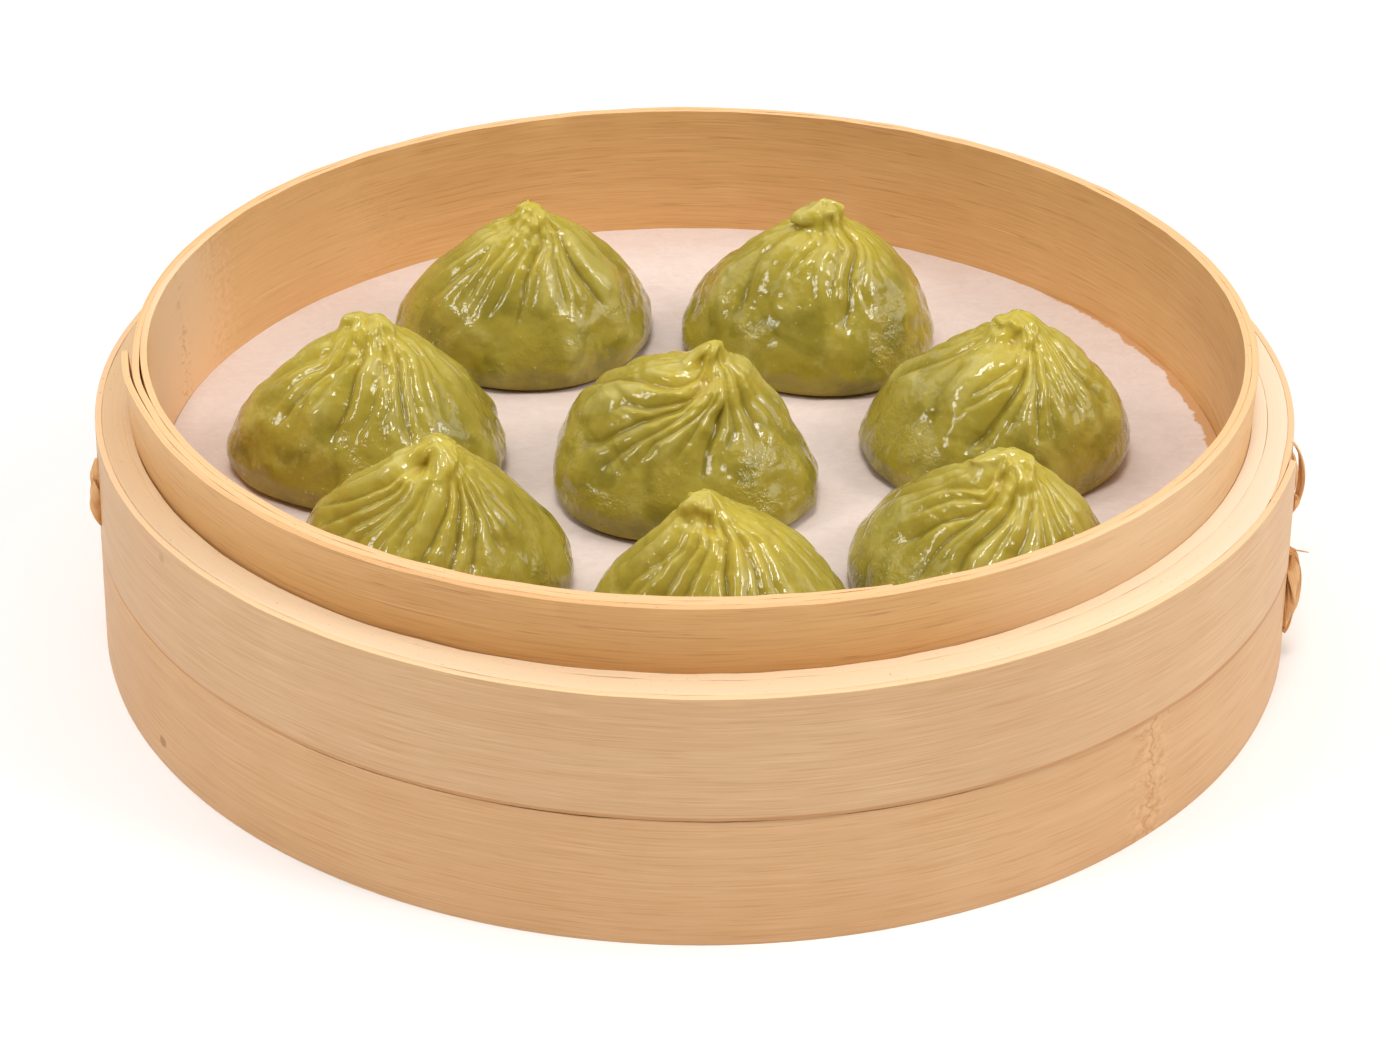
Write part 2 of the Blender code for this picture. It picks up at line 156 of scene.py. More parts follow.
@dataclass(frozen=True)
class Ripple:
    """A smooth repeatable unevenness made of slanting waves."""

    size: float
    seed: int
    waves: int = 18

    def at(self, points: np.ndarray) -> np.ndarray:
        """Read the unevenness.

        Args:
            points: Places in millimetres, the last axis holding x, y and z.

        Returns:
            Values around 0, mostly within 1.
        """
        rng = np.random.default_rng(self.seed)
        ways = rng.normal(size=(self.waves, 3))
        ways /= np.linalg.norm(ways, axis=1, keepdims=True)
        ways *= TURN / (self.size * rng.uniform(0.7, 1.8, (self.waves, 1)))
        phases = rng.uniform(0.0, TURN, self.waves)
        total = np.zeros(points.shape[:-1])
        for way, phase in zip(ways, phases):
            total += np.sin(points @ way + phase)
        return total / math.sqrt(self.waves)


# Shader maths


class Value:
    """A shader socket that takes part in arithmetic."""

    def __init__(self, graph: "Graph", socket: bpy.types.NodeSocket) -> None:
        """Keep the socket and the graph that it belongs to."""
        self.graph = graph
        self.socket = socket

    def _math(self, operation: str, *terms: "Value | float") -> "Value":
        """Add one Math node over these terms."""
        node = self.graph.node("ShaderNodeMath", {"operation": operation}, dict(enumerate(terms)))
        return Value(self.graph, node.outputs[0])

    def __add__(self, other: "Value | float") -> "Value":
        """The sum."""
        return self._math("ADD", self, other)

    __radd__ = __add__

    def __sub__(self, other: "Value | float") -> "Value":
        """The difference."""
        return self._math("SUBTRACT", self, other)

    def __rsub__(self, other: float) -> "Value":
        """The difference from a number."""
        return self._math("SUBTRACT", other, self)

    def __mul__(self, other: "Value | float") -> "Value":
        """The product."""
        return self._math("MULTIPLY", self, other)

    __rmul__ = __mul__

    def __truediv__(self, other: "Value | float") -> "Value":
        """The quotient."""
        return self._math("DIVIDE", self, other)

    def __pow__(self, other: "Value | float") -> "Value":
        """The power."""
        return self._math("POWER", self, other)

    def greatest(self, other: "Value | float") -> "Value":
        """The larger of two values."""
        return self._math("MAXIMUM", self, other)

    def away(self) -> "Value":
        """The size of the value without its sign."""
        return self._math("ABSOLUTE", self)

    def rise(self, low: float, high: float, bottom: float = 0.0, top: float = 1.0) -> "Value":
        """Map a range smoothly to another one.

        Args:
            low: Where the rise starts.
            high: Where it ends, which may be below low.
            bottom: The result at low.
            top: The result at high.

        Returns:
            The mapped value.
        """
        settings = {"interpolation_type": "SMOOTHSTEP"}
        inputs = {0: self, 1: low, 2: high, 3: bottom, 4: top}
        return Value(self.graph, self.graph.node("ShaderNodeMapRange", settings, inputs).outputs[0])


class Graph:
    """The node tree of one material."""

    def __init__(self, name: str) -> None:
        """Start a material that holds a Principled shader alone.

        Args:
            name: The material's name.
        """
        self.material = bpy.data.materials.new(name)
        self.material.use_nodes = True
        self.tree = self.material.node_tree
        self.shader = self.tree.nodes["Principled BSDF"]

    def node(
        self,
        kind: str,
        settings: Mapping[str, Any] | None = None,
        inputs: Mapping[int | str, Any] | None = None,
    ) -> bpy.types.Node:
        """Add a node.

        Args:
            kind: Blender's type of the node.
            settings: Its own settings, which are set first.
            inputs: Values or links of its sockets, by place or name.

        Returns:
            The node.
        """
        made = self.tree.nodes.new(kind)
        for key, setting in (settings or {}).items():
            setattr(made, key, setting)
        for key, given in (inputs or {}).items():
            self.feed(made.inputs[key], given)
        return made

    def feed(self, socket: bpy.types.NodeSocket, given: Any) -> None:
        """Link a value to a socket, or set the socket to a number or colour.

        Args:
            socket: The socket.
            given: A value to link, or a number, vector or colour to set.
        """
        if isinstance(given, Value):
            self.tree.links.new(given.socket, socket)
        elif isinstance(given, tuple) and socket.type == "RGBA" and len(given) == 3:
            socket.default_value = (*given, 1.0)
        else:
            socket.default_value = given

    def attribute(self, name: str) -> tuple[Value, Value, Value]:
        """The three parts of a mesh attribute."""
        made = self.node("ShaderNodeAttribute", {"attribute_name": name})
        return self.split(Value(self, made.outputs["Vector"]))

    def place(self) -> Value:
        """The piece's own coordinates in metres."""
        return Value(self, self.node("ShaderNodeTexCoord").outputs["Object"])

    def split(self, vector: Value) -> tuple[Value, Value, Value]:
        """The three parts of a vector."""
        made = self.node("ShaderNodeSeparateXYZ", None, {0: vector})
        return tuple(Value(self, made.outputs[i]) for i in range(3))

    def join(self, x: Any, y: Any, z: Any) -> Value:
        """A vector from three parts."""
        made = self.node("ShaderNodeCombineXYZ", None, {0: x, 1: y, 2: z})
        return Value(self, made.outputs[0])

    def noise(
        self, where: Value, scale: float, detail: float = 2.0, rough: float = 0.5, warp: float = 0.0
    ) -> Value:
        """Soft noise, around one half.

        Args:
            where: The coordinates.
            scale: How many features to a metre.
            detail: How many finer layers.
            rough: How strong each finer layer is.
            warp: How far the pattern is pulled about.

        Returns:
            The noise.
        """
        inputs = {
            "Vector": where, "Scale": scale, "Detail": detail,
            "Roughness": rough, "Distortion": warp,
        }
        return Value(self, self.node("ShaderNodeTexNoise", None, inputs).outputs[0])

    def weave(self, x: Any, y: Any, z: Any, *layers: float) -> Value:
        """Noise over coordinates that are already scaled, with detail, roughness and warp."""
        return self.noise(self.join(x, y, z), 1.0, *layers)

    def mix(self, share: Any, first: Any, second: Any, blend: str = "MIX") -> Value:
        """Mix two colours.

        Args:
            share: How much of the second colour shows.
            first: The first colour.
            second: The second colour.
            blend: How they mix.

        Returns:
            The mixed colour.
        """
        settings = {"data_type": "RGBA", "blend_type": blend}
        made = self.node("ShaderNodeMix", settings, {0: share, 6: first, 7: second})
        return Value(self, made.outputs[2])

    def bump(self, height: Value, strength: float, distance: float) -> Value:
        """A normal raised by a height, with its distance in metres."""
        inputs = {"Height": height, "Strength": strength, "Distance": distance}
        return Value(self, self.node("ShaderNodeBump", None, inputs).outputs[0])

    def dress(self, **sockets: Any) -> bpy.types.Material:
        """Set the shader's sockets by name, with _ for a space, and give the material.

        Args:
            sockets: What each socket takes.

        Returns:
            The material.
        """
        for key, given in sockets.items():
            self.feed(self.shader.inputs[key.replace("_", " ")], given)
        return self.material


# Finishes


# Washes of painted shade and painted light, with how each mixes in.
PAINTED_WASHES = {
    MarkKind.TAN: ((0.79, 0.71, 0.58), "MULTIPLY"),
    MarkKind.PAINTED_LIGHT: ((0.90, 0.76, 0.58), "MIX"),
}
SPOT_INK: Colour = (0.36, 0.16, 0.04)
# Painted shade for the inside of a hole.
HOLE_SHADE: Colour = (0.05, 0.022, 0.010)
NODE_PATCH: Colour = (0.60, 0.28, 0.09)
NODE_LINE: Colour = (0.50, 0.22, 0.07)
SEAM_BROWN: Colour = (0.58, 0.26, 0.08)
# Painted shade for the lowest edge of a strip that stands on another, in the gap between them.
GAP_SHADE: Colour = (0.20, 0.075, 0.018)


@dataclass(frozen=True)
class Mark:
    """A mark on a strip, by azimuth along it and height on its face: a natural mark, a hole painted as
    shade, or a wash of painted shade or painted light.
    """

    kind: MarkKind
    azimuth: float
    height: float
    length: float
    depth: float
    strength: float = 0.6

    def cover(self, graph: Graph, along: Value, up: Value, stir: Value | float) -> Value:
        """How strongly the mark shows at each point.

        Args:
            graph: The material's graph.
            along: Metres along the strip.
            up: Metres up the face.
            stir: A noise that makes the outline uneven.

        Returns:
            The cover, from 0 to the mark's strength.
        """
        start = math.radians(self.azimuth) * GRAIN_RADIUS
        across = (along - start) / (self.length * MM)
        over = (up - self.height * MM) / (self.depth * MM)
        away = (across**2 + over**2) ** 0.5 + (stir - 0.5) * 0.8
        return away.rise(1.0, 0.2 if self.kind in PAINTED_WASHES else 0.55, 0.0, self.strength)


@dataclass(frozen=True)
class BambooFinish:
    """Split bamboo: fine grain along the strip, pale laminated edges."""

    name: str
    light: Colour
    dark: Colour
    fibre: Colour
    edge: Colour
    edge_line: Colour
    seed: float
    lines: float
    gloss: float
    marks: tuple[Mark, ...]
    streaks: float = 0.0
    seam: float = 0.0

    def build(self) -> bpy.types.Material:
        """Make the material.

        Returns:
            The material.
        """
        graph = Graph(self.name)
        along, up, edge = graph.attribute("grain")
        place = graph.place()
        slip = graph.noise(place, 22.0, 2.0)
        drift = up + (slip - 0.5) * 0.0014
        coarse = graph.weave(along * 8.0, drift * 330.0, edge * 2.0 + self.seed, 3.0, 0.5)
        fine = graph.weave(along * 34.0, drift * 3600.0, edge * 3.0 + self.seed + 5.0, 3.0, 0.6)
        hairs = graph.weave(along * 70.0, drift * 2900.0, self.seed + 11.0, 2.0, 0.5)
        pale = graph.weave(along * 60.0, drift * 2700.0, self.seed + 17.0, 2.0, 0.5)
        cloud = graph.noise(place, 26.0, 3.0, 0.55)
        shade = (coarse * 0.4 + fine * 0.7 + cloud * 0.5 - 0.37).rise(0.15, 0.75)
        face = graph.mix(shade, self.dark, self.light)
        face = graph.mix(hairs.rise(0.53, 0.66, 0.0, self.lines), face, self.fibre)
        face = graph.mix(pale.rise(0.54, 0.70, 0.0, 0.3), face, self.edge)
        if self.streaks > 0.0:
            torn = graph.weave(along * 24.0, drift * 1300.0, self.seed + 23.0, 2.0, 0.4)
            face = graph.mix(torn.rise(0.66, 0.71, 0.0, self.streaks), face, self.edge)
            # Painted shadow: a dark line along the torn fibres, beside their pale streaks.
            split = torn.rise(0.62, 0.65) * torn.rise(0.67, 0.655, 0.0, 0.5)
            face = graph.mix(split, face, self.fibre)
        stir = graph.weave(along * 600.0, up * 900.0, self.seed + 31.0, 3.0)
        if self.seam > 0.0:
            worn = graph.weave(along * 55.0, self.seed + 37.0, 0.0, 2.0)
            right = along.rise(-0.14, -0.07)
            line = (up - right * 0.0003).rise(0.0008, 0.0004)
            line = line * worn.rise(0.3, 0.6, 0.5, self.seam).greatest(right)
            face = graph.mix(line, face, SEAM_BROWN)
        height = fine * 0.55 + coarse * 0.35 + hairs * 0.3
        for mark in (m for m in self.marks if m.kind not in PAINTED_WASHES):
            face, height = self._add_mark(graph, mark, face, height, (along, up, stir))
        layers = graph.weave(along * 7.0, up * 3600.0, self.seed + 41.0, 3.0, 0.6)
        specks = graph.weave(along * 900.0, up * 1500.0, self.seed + 47.0, 2.0)
        rim = graph.mix(layers.rise(0.50, 0.72, 0.0, 0.55), self.edge, self.edge_line)
        rim = graph.mix(specks.rise(0.66, 0.74, 0.0, 0.5), rim, self.fibre)
        colour = graph.mix(edge.rise(0.35, 0.75), face, rim)
        # Washes of painted shade and painted light over parts of the strip.
        for mark in (m for m in self.marks if m.kind in PAINTED_WASHES):
            wash, blend = PAINTED_WASHES[mark.kind]
            colour = graph.mix(mark.cover(graph, along, up, 0.5), colour, wash, blend)
        # Painted shade on the lowest edge, in the gap under the strip.
        colour = graph.mix(edge.rise(1.3, 1.7, 0.0, 0.85), colour, GAP_SHADE)
        rough = fine.rise(0.2, 0.8, self.gloss - 0.06, self.gloss + 0.14)
        normal = graph.bump(height, 0.35, 0.00022)
        return graph.dress(Base_Color=colour, Roughness=rough, Normal=normal, IOR=1.45)

    def _add_mark(
        self, graph: Graph, mark: Mark, face: Value, height: Value, at: tuple[Value, Value, Value]
    ) -> tuple[Value, Value]:
        """Paint one mark over the face and into the height.

        Args:
            graph: The material's graph.
            mark: The mark.
            face: The face's colour so far.
            height: The height that the bump reads so far.
            at: Metres along the strip and up the face, and the stirring noise.

        Returns:
            The colour and the height with the mark in them.
        """
        along, up, stir = at
        if mark.kind is MarkKind.NODE:
            start = math.radians(mark.azimuth) * GRAIN_RADIUS
            bend = graph.weave(up * 260.0, self.seed + 53.0, 0.0, 3.0)
            away = (along - start - (bend - 0.5) * 0.009).away()
            thin = away.rise(0.0004, 0.0001, 0.0, mark.strength)
            wide = away.rise(mark.length * MM, mark.length * MM * 0.2)
            patch = graph.weave(along * 420.0, up * 620.0, self.seed + 59.0, 3.0, 0.6, 0.8)
            face = graph.mix(wide * patch.rise(0.5, 0.60, 0.0, 0.35), face, self.edge)
            face = graph.mix(wide * patch.rise(0.46, 0.38, 0.0, 0.6), face, NODE_PATCH)
            return graph.mix(thin, face, NODE_LINE), height + wide * patch * 0.4 - thin * 0.2
        cover = mark.cover(graph, along, up, stir)
        mark_and_hole_shade = {
            MarkKind.SPOT: SPOT_INK, MarkKind.STAIN: self.fibre,
            MarkKind.HOLE: HOLE_SHADE, MarkKind.PALE: self.edge,
        }[mark.kind]
        # A hole is painted as the shade inside it, and pressed in by the bump.
        if mark.kind is MarkKind.HOLE:
            return graph.mix(cover, face, mark_and_hole_shade), height - cover * 3.0
        return graph.mix(cover, face, mark_and_hole_shade), height


@dataclass(frozen=True)
class SlatFinish:
    """Sawn bamboo for the floor, with its grain along one axis."""

    name: str
    along_x: bool
    light: Colour = tone(222, 182, 138)
    dark: Colour = tone(190, 146, 100)
    fibre: Colour = tone(150, 104, 62)

    def build(self) -> bpy.types.Material:
        """Make the material.

        Returns:
            The material.
        """
        graph = Graph(self.name)
        x, y, z = graph.split(graph.place())
        along, across = (x, y) if self.along_x else (y, x)
        coarse = graph.weave(along * 10.0, across * 320.0, z * 500.0, 4.0, 0.55)
        fine = graph.weave(along * 40.0, across * 2200.0, z * 2600.0, 3.0, 0.6)
        shade = (coarse * 0.7 + fine * 0.5 - 0.1).rise(0.3, 0.72)
        colour = graph.mix(shade, self.dark, self.light)
        colour = graph.mix(fine.rise(0.62, 0.76, 0.0, 0.6), colour, self.fibre)
        rough = fine.rise(0.2, 0.8, 0.42, 0.62)
        normal = graph.bump(fine * 0.6 + coarse * 0.4, 0.4, 0.0003)
        return graph.dress(Base_Color=colour, Roughness=rough, Normal=normal)


@dataclass(frozen=True)
class PaperFinish:
    """Soft white steaming paper with matted fibres."""

    name: str = "liner_paper"
    light: Colour = tone(226, 210, 201)
    dark: Colour = tone(218, 197, 185)
    fibre: Colour = tone(216, 188, 172)
    under: Colour = tone(200, 149, 97)

    def build(self) -> bpy.types.Material:
        """Make the material.

        Returns:
            The material.
        """
        graph = Graph(self.name)
        place = graph.place()
        x, y, _ = graph.split(place)
        mat = graph.weave(x * 620.0, y * 900.0, 0.0, 4.0, 0.6, 1.6)
        felt = graph.weave(x * 260.0, y * 420.0, 3.0, 3.0, 0.55, 1.4)
        cloud = graph.noise(place, 34.0, 3.0)
        shade = (mat * 0.4 + felt * 0.5 + cloud * 0.5).rise(0.5, 0.92)
        colour = graph.mix(shade, self.dark, self.light)
        colour = graph.mix(felt.rise(0.66, 0.8, 0.0, 0.35), colour, self.fibre)
        ragged = graph.noise(place, 170.0, 5.0, 0.6)
        out = (x**2 + y**2) ** 0.5 + (ragged - 0.5) * 0.005 + x.rise(0.06, 0.1, -0.002, 0.0)
        torn = out.rise(0.0990, 0.0996)
        colour = graph.mix(torn * x.rise(0.062, 0.078, 0.0, 0.95), colour, self.under)
        normal = graph.bump(mat * 0.6 + felt * 0.8, 0.3, 0.0002)
        return graph.dress(
            Base_Color=colour, Roughness=mat.rise(0.2, 0.8, 0.7, 0.9), Normal=normal,
            Specular_IOR_Level=0.25,
        )


@dataclass(frozen=True)
class DoughFinish:
    """Steamed spinach dough: wet, glossy and a little translucent."""

    name: str = "spinach_dough"
    foot: Colour = tone(156, 138, 44)
    body: Colour = tone(168, 151, 58)
    top: Colour = tone(197, 177, 68)
    # The painted shade in the valleys and hollows.
    crease: Colour = tone(128, 110, 22)
    # The painted light on the pleats' ridges, also used for a random paler mottle.
    ridge: Colour = tone(200, 186, 104)
    fleck: Colour = tone(112, 104, 22)
    speck: Colour = tone(214, 204, 130)
    ochre: Colour = tone(184, 150, 34)
    # Painted shade at the foot, where the dough curves under to the paper.
    base_shade: Colour = tone(126, 98, 30)

    def build(self) -> bpy.types.Material:
        """Make the material.

        Returns:
            The material.
        """
        graph = Graph(self.name)
        place = graph.place()
        deep, share, ridge = graph.attribute("dough")
        mottle = graph.noise(place, 170.0, 4.0, 0.6)
        broad = graph.noise(place, 62.0, 2.0)
        blotch = graph.noise(place, 105.0, 3.0, 0.55, 0.6)
        grains = graph.noise(place, 2100.0, 2.0, 0.6)
        beads = graph.noise(place, 760.0, 2.0, 0.6)
        swell = graph.noise(place, 240.0, 2.0, 0.5)
        colour = graph.mix((share + (mottle - 0.5) * 0.5).rise(0.0, 0.45), self.foot, self.body)
        colour = graph.mix((share + (broad - 0.5) * 0.3).rise(0.5, 0.98), colour, self.top)
        # Painted light: the pleats' ridges are lightened where they stand out.
        colour = graph.mix(ridge.rise(0.1, 0.8, 0.0, 0.45), colour, self.ridge)
        below = share.rise(0.85, 0.35, 0.0, 0.75)
        colour = graph.mix(below * blotch.rise(0.46, 0.66, 0.0, 0.75), colour, self.fleck)
        colour = graph.mix(mottle.rise(0.54, 0.70, 0.0, 0.22), colour, self.fleck)
        colour = graph.mix(mottle.rise(0.46, 0.30, 0.0, 0.35), colour, self.ridge)
        colour = graph.mix(beads.rise(0.69, 0.76, 0.0, 0.5), colour, self.speck)
        # Painted shade: the valleys and knot hollows are darkened, taking the dough's ochre near the
        # top.
        hollow = graph.mix(share.rise(0.70, 0.86), self.crease, self.ochre)
        colour = graph.mix(deep.rise(0.25, 1.0, 0.0, 0.62), colour, hollow)
        # Painted shade at the foot of the dumpling.
        colour = graph.mix(share.rise(0.045, 0.0, 0.0, 0.6), colour, self.base_shade)
        rough = beads.rise(0.35, 0.7, 0.04, 0.11).greatest(share.rise(0.14, 0.03, 0.0, 0.5))
        damp = graph.noise(place, 88.0, 2.0).rise(0.46, 0.60) * share.rise(0.56, 0.34)
        lumps = graph.noise(place, 128.0, 2.0) * share.rise(0.86, 0.5)
        height = lumps * 5.0 + swell * 2.1
        height = height + beads * (damp * 1.9 + 0.55) + grains * (damp * 0.6 + 0.14)
        normal = graph.bump(height, 0.5, 0.00035)
        return graph.dress(
            Base_Color=colour, Roughness=rough, Normal=normal, IOR=1.46,
            Subsurface_Weight=0.4, Subsurface_Radius=(0.0026, 0.0024, 0.0007),
            Subsurface_Scale=1.0, Specular_IOR_Level=0.5,
        )


@dataclass(frozen=True)
class RattanFinish:
    """Split rattan: shiny skin with fine lengthwise fibres."""

    name: str = "rattan"
    light: Colour = tone(246, 196, 134)
    dark: Colour = tone(214, 154, 92)
    fibre: Colour = tone(142, 88, 44)

    def build(self) -> bpy.types.Material:
        """Make the material.

        Returns:
            The material.
        """
        graph = Graph(self.name)
        along, around, _ = graph.attribute("grain")
        coarse = graph.weave(along * 90.0, around * 900.0, 2.0, 3.0)
        fine = graph.weave(along * 160.0, around * 5200.0, 7.0, 2.0, 0.6)
        colour = graph.mix((coarse * 0.6 + fine * 0.6).rise(0.38, 0.8), self.dark, self.light)
        colour = graph.mix(fine.rise(0.58, 0.74, 0.0, 0.7), colour, self.fibre)
        normal = graph.bump(fine, 0.5, 0.0002)
        rough = fine.rise(0.2, 0.8, 0.3, 0.5)
        return graph.dress(Base_Color=colour, Roughness=rough, Normal=normal)


@dataclass(frozen=True)
class TableFinish:
    """The plain pale table top."""

    name: str = "table_top"
    colour: Colour = (0.93, 0.92, 0.915)

    def build(self) -> bpy.types.Material:
        """Make the material."""
        graph = Graph(self.name)
        return graph.dress(Base_Color=self.colour, Roughness=0.8, Specular_IOR_Level=0.1)


# Meshes


def new_object(
    name: str,
    points: np.ndarray,
    faces: list[list[int]],
    attributes: Mapping[str, np.ndarray],
    sharp: float = 42.0,
) -> bpy.types.Object:
    """Make a smooth-shaded mesh object with outward faces.

    Args:
        name: The piece's name.
        points: Vertices in millimetres.
        faces: Vertex numbers of each face.
        attributes: Three values for each vertex, by name.
        sharp: Edges that turn by more than this many degrees stay crisp.

    Returns:
        The object, linked to the scene.
    """
    mesh = bpy.data.meshes.new(name)
    mesh.from_pydata((points * MM).tolist(), [], faces)
    for key, values in attributes.items():
        layer = mesh.attributes.new(key, "FLOAT_VECTOR", "POINT")
        layer.data.foreach_set("vector", values.astype(np.float32).ravel())
    bm = bmesh.new()
    bm.from_mesh(mesh)
    bmesh.ops.recalc_face_normals(bm, faces=bm.faces)
    bm.to_mesh(mesh)
    bm.free()
    mesh.shade_smooth()
    mesh.set_sharp_from_angle(angle=math.radians(sharp))
    obj = bpy.data.objects.new(name, mesh)
    bpy.context.scene.collection.objects.link(obj)
    return obj


def grid_faces(rows: int, columns: int, start: int = 0) -> list[list[int]]:
    """Quads of a grid whose columns close into rings.

    Args:
        rows: The number of rings.
        columns: Vertices in each ring.
        start: The first vertex's number.

    Returns:
        The faces.
    """
    i, j = np.meshgrid(np.arange(rows - 1), np.arange(columns), indexing="ij")
    k = (j + 1) % columns
    low, high = i * columns, (i + 1) * columns
    quads = np.stack([low + j, low + k, high + k, high + j], -1)
    return (quads.reshape(-1, 4) + start).tolist()


def settle(
    obj: bpy.types.Object, slot: Slot, material: bpy.types.Material, *nodes: str
) -> bpy.types.Object:
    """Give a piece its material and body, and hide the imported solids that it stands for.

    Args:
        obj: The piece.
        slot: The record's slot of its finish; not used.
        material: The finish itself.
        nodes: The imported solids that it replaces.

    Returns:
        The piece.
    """
    obj.data.materials.clear()
    obj.data.materials.append(material)
    if nodes:
        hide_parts(*nodes)
    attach(obj, "root")
    LOG.info("%s: %d faces", obj.name, len(obj.data.polygons))
    return obj


@dataclass(frozen=True)
class Side:
    """One face of a bent strip: a radius about a centre."""

    centre: Pair
    radius: Callable[[np.ndarray, np.ndarray], np.ndarray]

    def points(self, azimuth: np.ndarray, turned: np.ndarray, z: np.ndarray) -> np.ndarray:
        """Places on the face, x and y on the last axis."""
        return self.centre + self.radius(turned, z)[..., None] * bearing(azimuth)


@dataclass
class Strip:
    """A bamboo strip bent clockwise round the basket from one end."""

    name: str
    inside: Side
    outside: Side
    start: float
    sweep: float
    bottom: float
    top: float
    thickness: float
    bevel: float
    rows: int
    seed: int
    wave: float
    chip: float
    step: float = 1.5
    seam_at: tuple[float, ...] = (0.0, 360.0)
    seam_open: tuple[float, ...] = (0.0, 0.0)

    def section(self) -> np.ndarray:
        """The outline across the strip.

        Returns:
            Rows of share across, height, distance round the outline from
            the outer bottom corner, and how much the point is on an edge.
        """
        bevel = min(self.bevel, self.thickness * 0.4)
        share = bevel / self.thickness
        low, high = self.bottom + bevel, self.top - bevel
        face = np.linspace(low, high, self.rows)
        cut = np.linspace(1.0 - share, share, 4)
        turn = np.radians([22.5, 45.0, 67.5])
        points: list[tuple[float, float, float]] = [(1.0, z, 0.0) for z in face]
        points += [(1 - share + share * math.cos(a), high + bevel * math.sin(a), 0.5) for a in turn]
        points += [(c, self.top, 1.0) for c in cut]
        points += [(share - share * math.sin(a), high + bevel * math.cos(a), 0.5) for a in turn]
        points += [(0.0, z, 0.0) for z in face[::-1]]
        points += [(share - share * math.cos(a), low - bevel * math.sin(a), 0.5) for a in turn]
        points += [(c, self.bottom, 1.0) for c in cut[::-1]]
        points += [(1 - share + share * math.sin(a), low - bevel * math.cos(a), 0.5) for a in turn]
        line = np.array(points)
        flat = np.stack([line[:, 0] * self.thickness, line[:, 1]], -1)
        run = np.concatenate([[0.0], np.cumsum(np.linalg.norm(np.diff(flat, axis=0), axis=1))])
        return np.column_stack([line[:, :2], run + bevel, line[:, 2]])

    def build(self) -> bpy.types.Object:
        """Make the strip's mesh, its ends closed.

        Returns:
            The piece.
        """
        outline = self.section()
        count = max(int(round(self.sweep / self.step)), 2)
        turned = np.linspace(0.0, self.sweep, count + 1)[:, None]
        azimuth = self.start - turned
        z = np.repeat(outline[None, :, 1], count + 1, axis=0)
        edge = np.repeat(outline[None, :, 3], count + 1, axis=0)
        ways = bearing(azimuth) + 0 * z[..., None]
        ring = np.concatenate([GUIDE_RADIUS * ways, (z + 0.3 * turned)[..., None]], -1)
        opening = np.interp(wrapped(azimuth), self.seam_at, self.seam_open)
        z = z + opening * (1.0 - smooth((z - self.bottom) / 1.5))
        # The lowest edge of a strip that stands on another is marked 2, where the finish paints the
        # shade of the gap.
        lowest = z < self.bottom + opening + 0.5 * self.bevel
        edge = edge + lowest * (edge > 0.9) * (self.bottom > FOOT_HEIGHT)
        high = smooth(z - self.top + 1.0)
        z = z + high * self.chip * Ripple(9.0, self.seed + 3).at(ring) * (edge > 0.2)
        inner = self.inside.points(azimuth, turned, z)
        outer = self.outside.points(azimuth, turned, z)
        across = outline[None, :, 0, None]
        flat = inner * (1.0 - across) + outer * across
        ring[..., 2] = z
        flat += ways * (self.wave * Ripple(30.0, self.seed).at(ring))[..., None]
        points = np.concatenate([flat, z[..., None]], -1)
        along = np.radians(azimuth) * GRAIN_RADIUS + 0 * z
        grain = np.stack([along, outline[None, :, 2] * MM + 0 * z, edge], -1)
        columns = len(outline)
        faces = grid_faces(count + 1, columns)
        faces.append(list(range(columns)))
        faces.append(list(range(count * columns, (count + 1) * columns))[::-1])
        return new_object(self.name, points.reshape(-1, 3), faces, {"grain": grain.reshape(-1, 3)})


# The basket


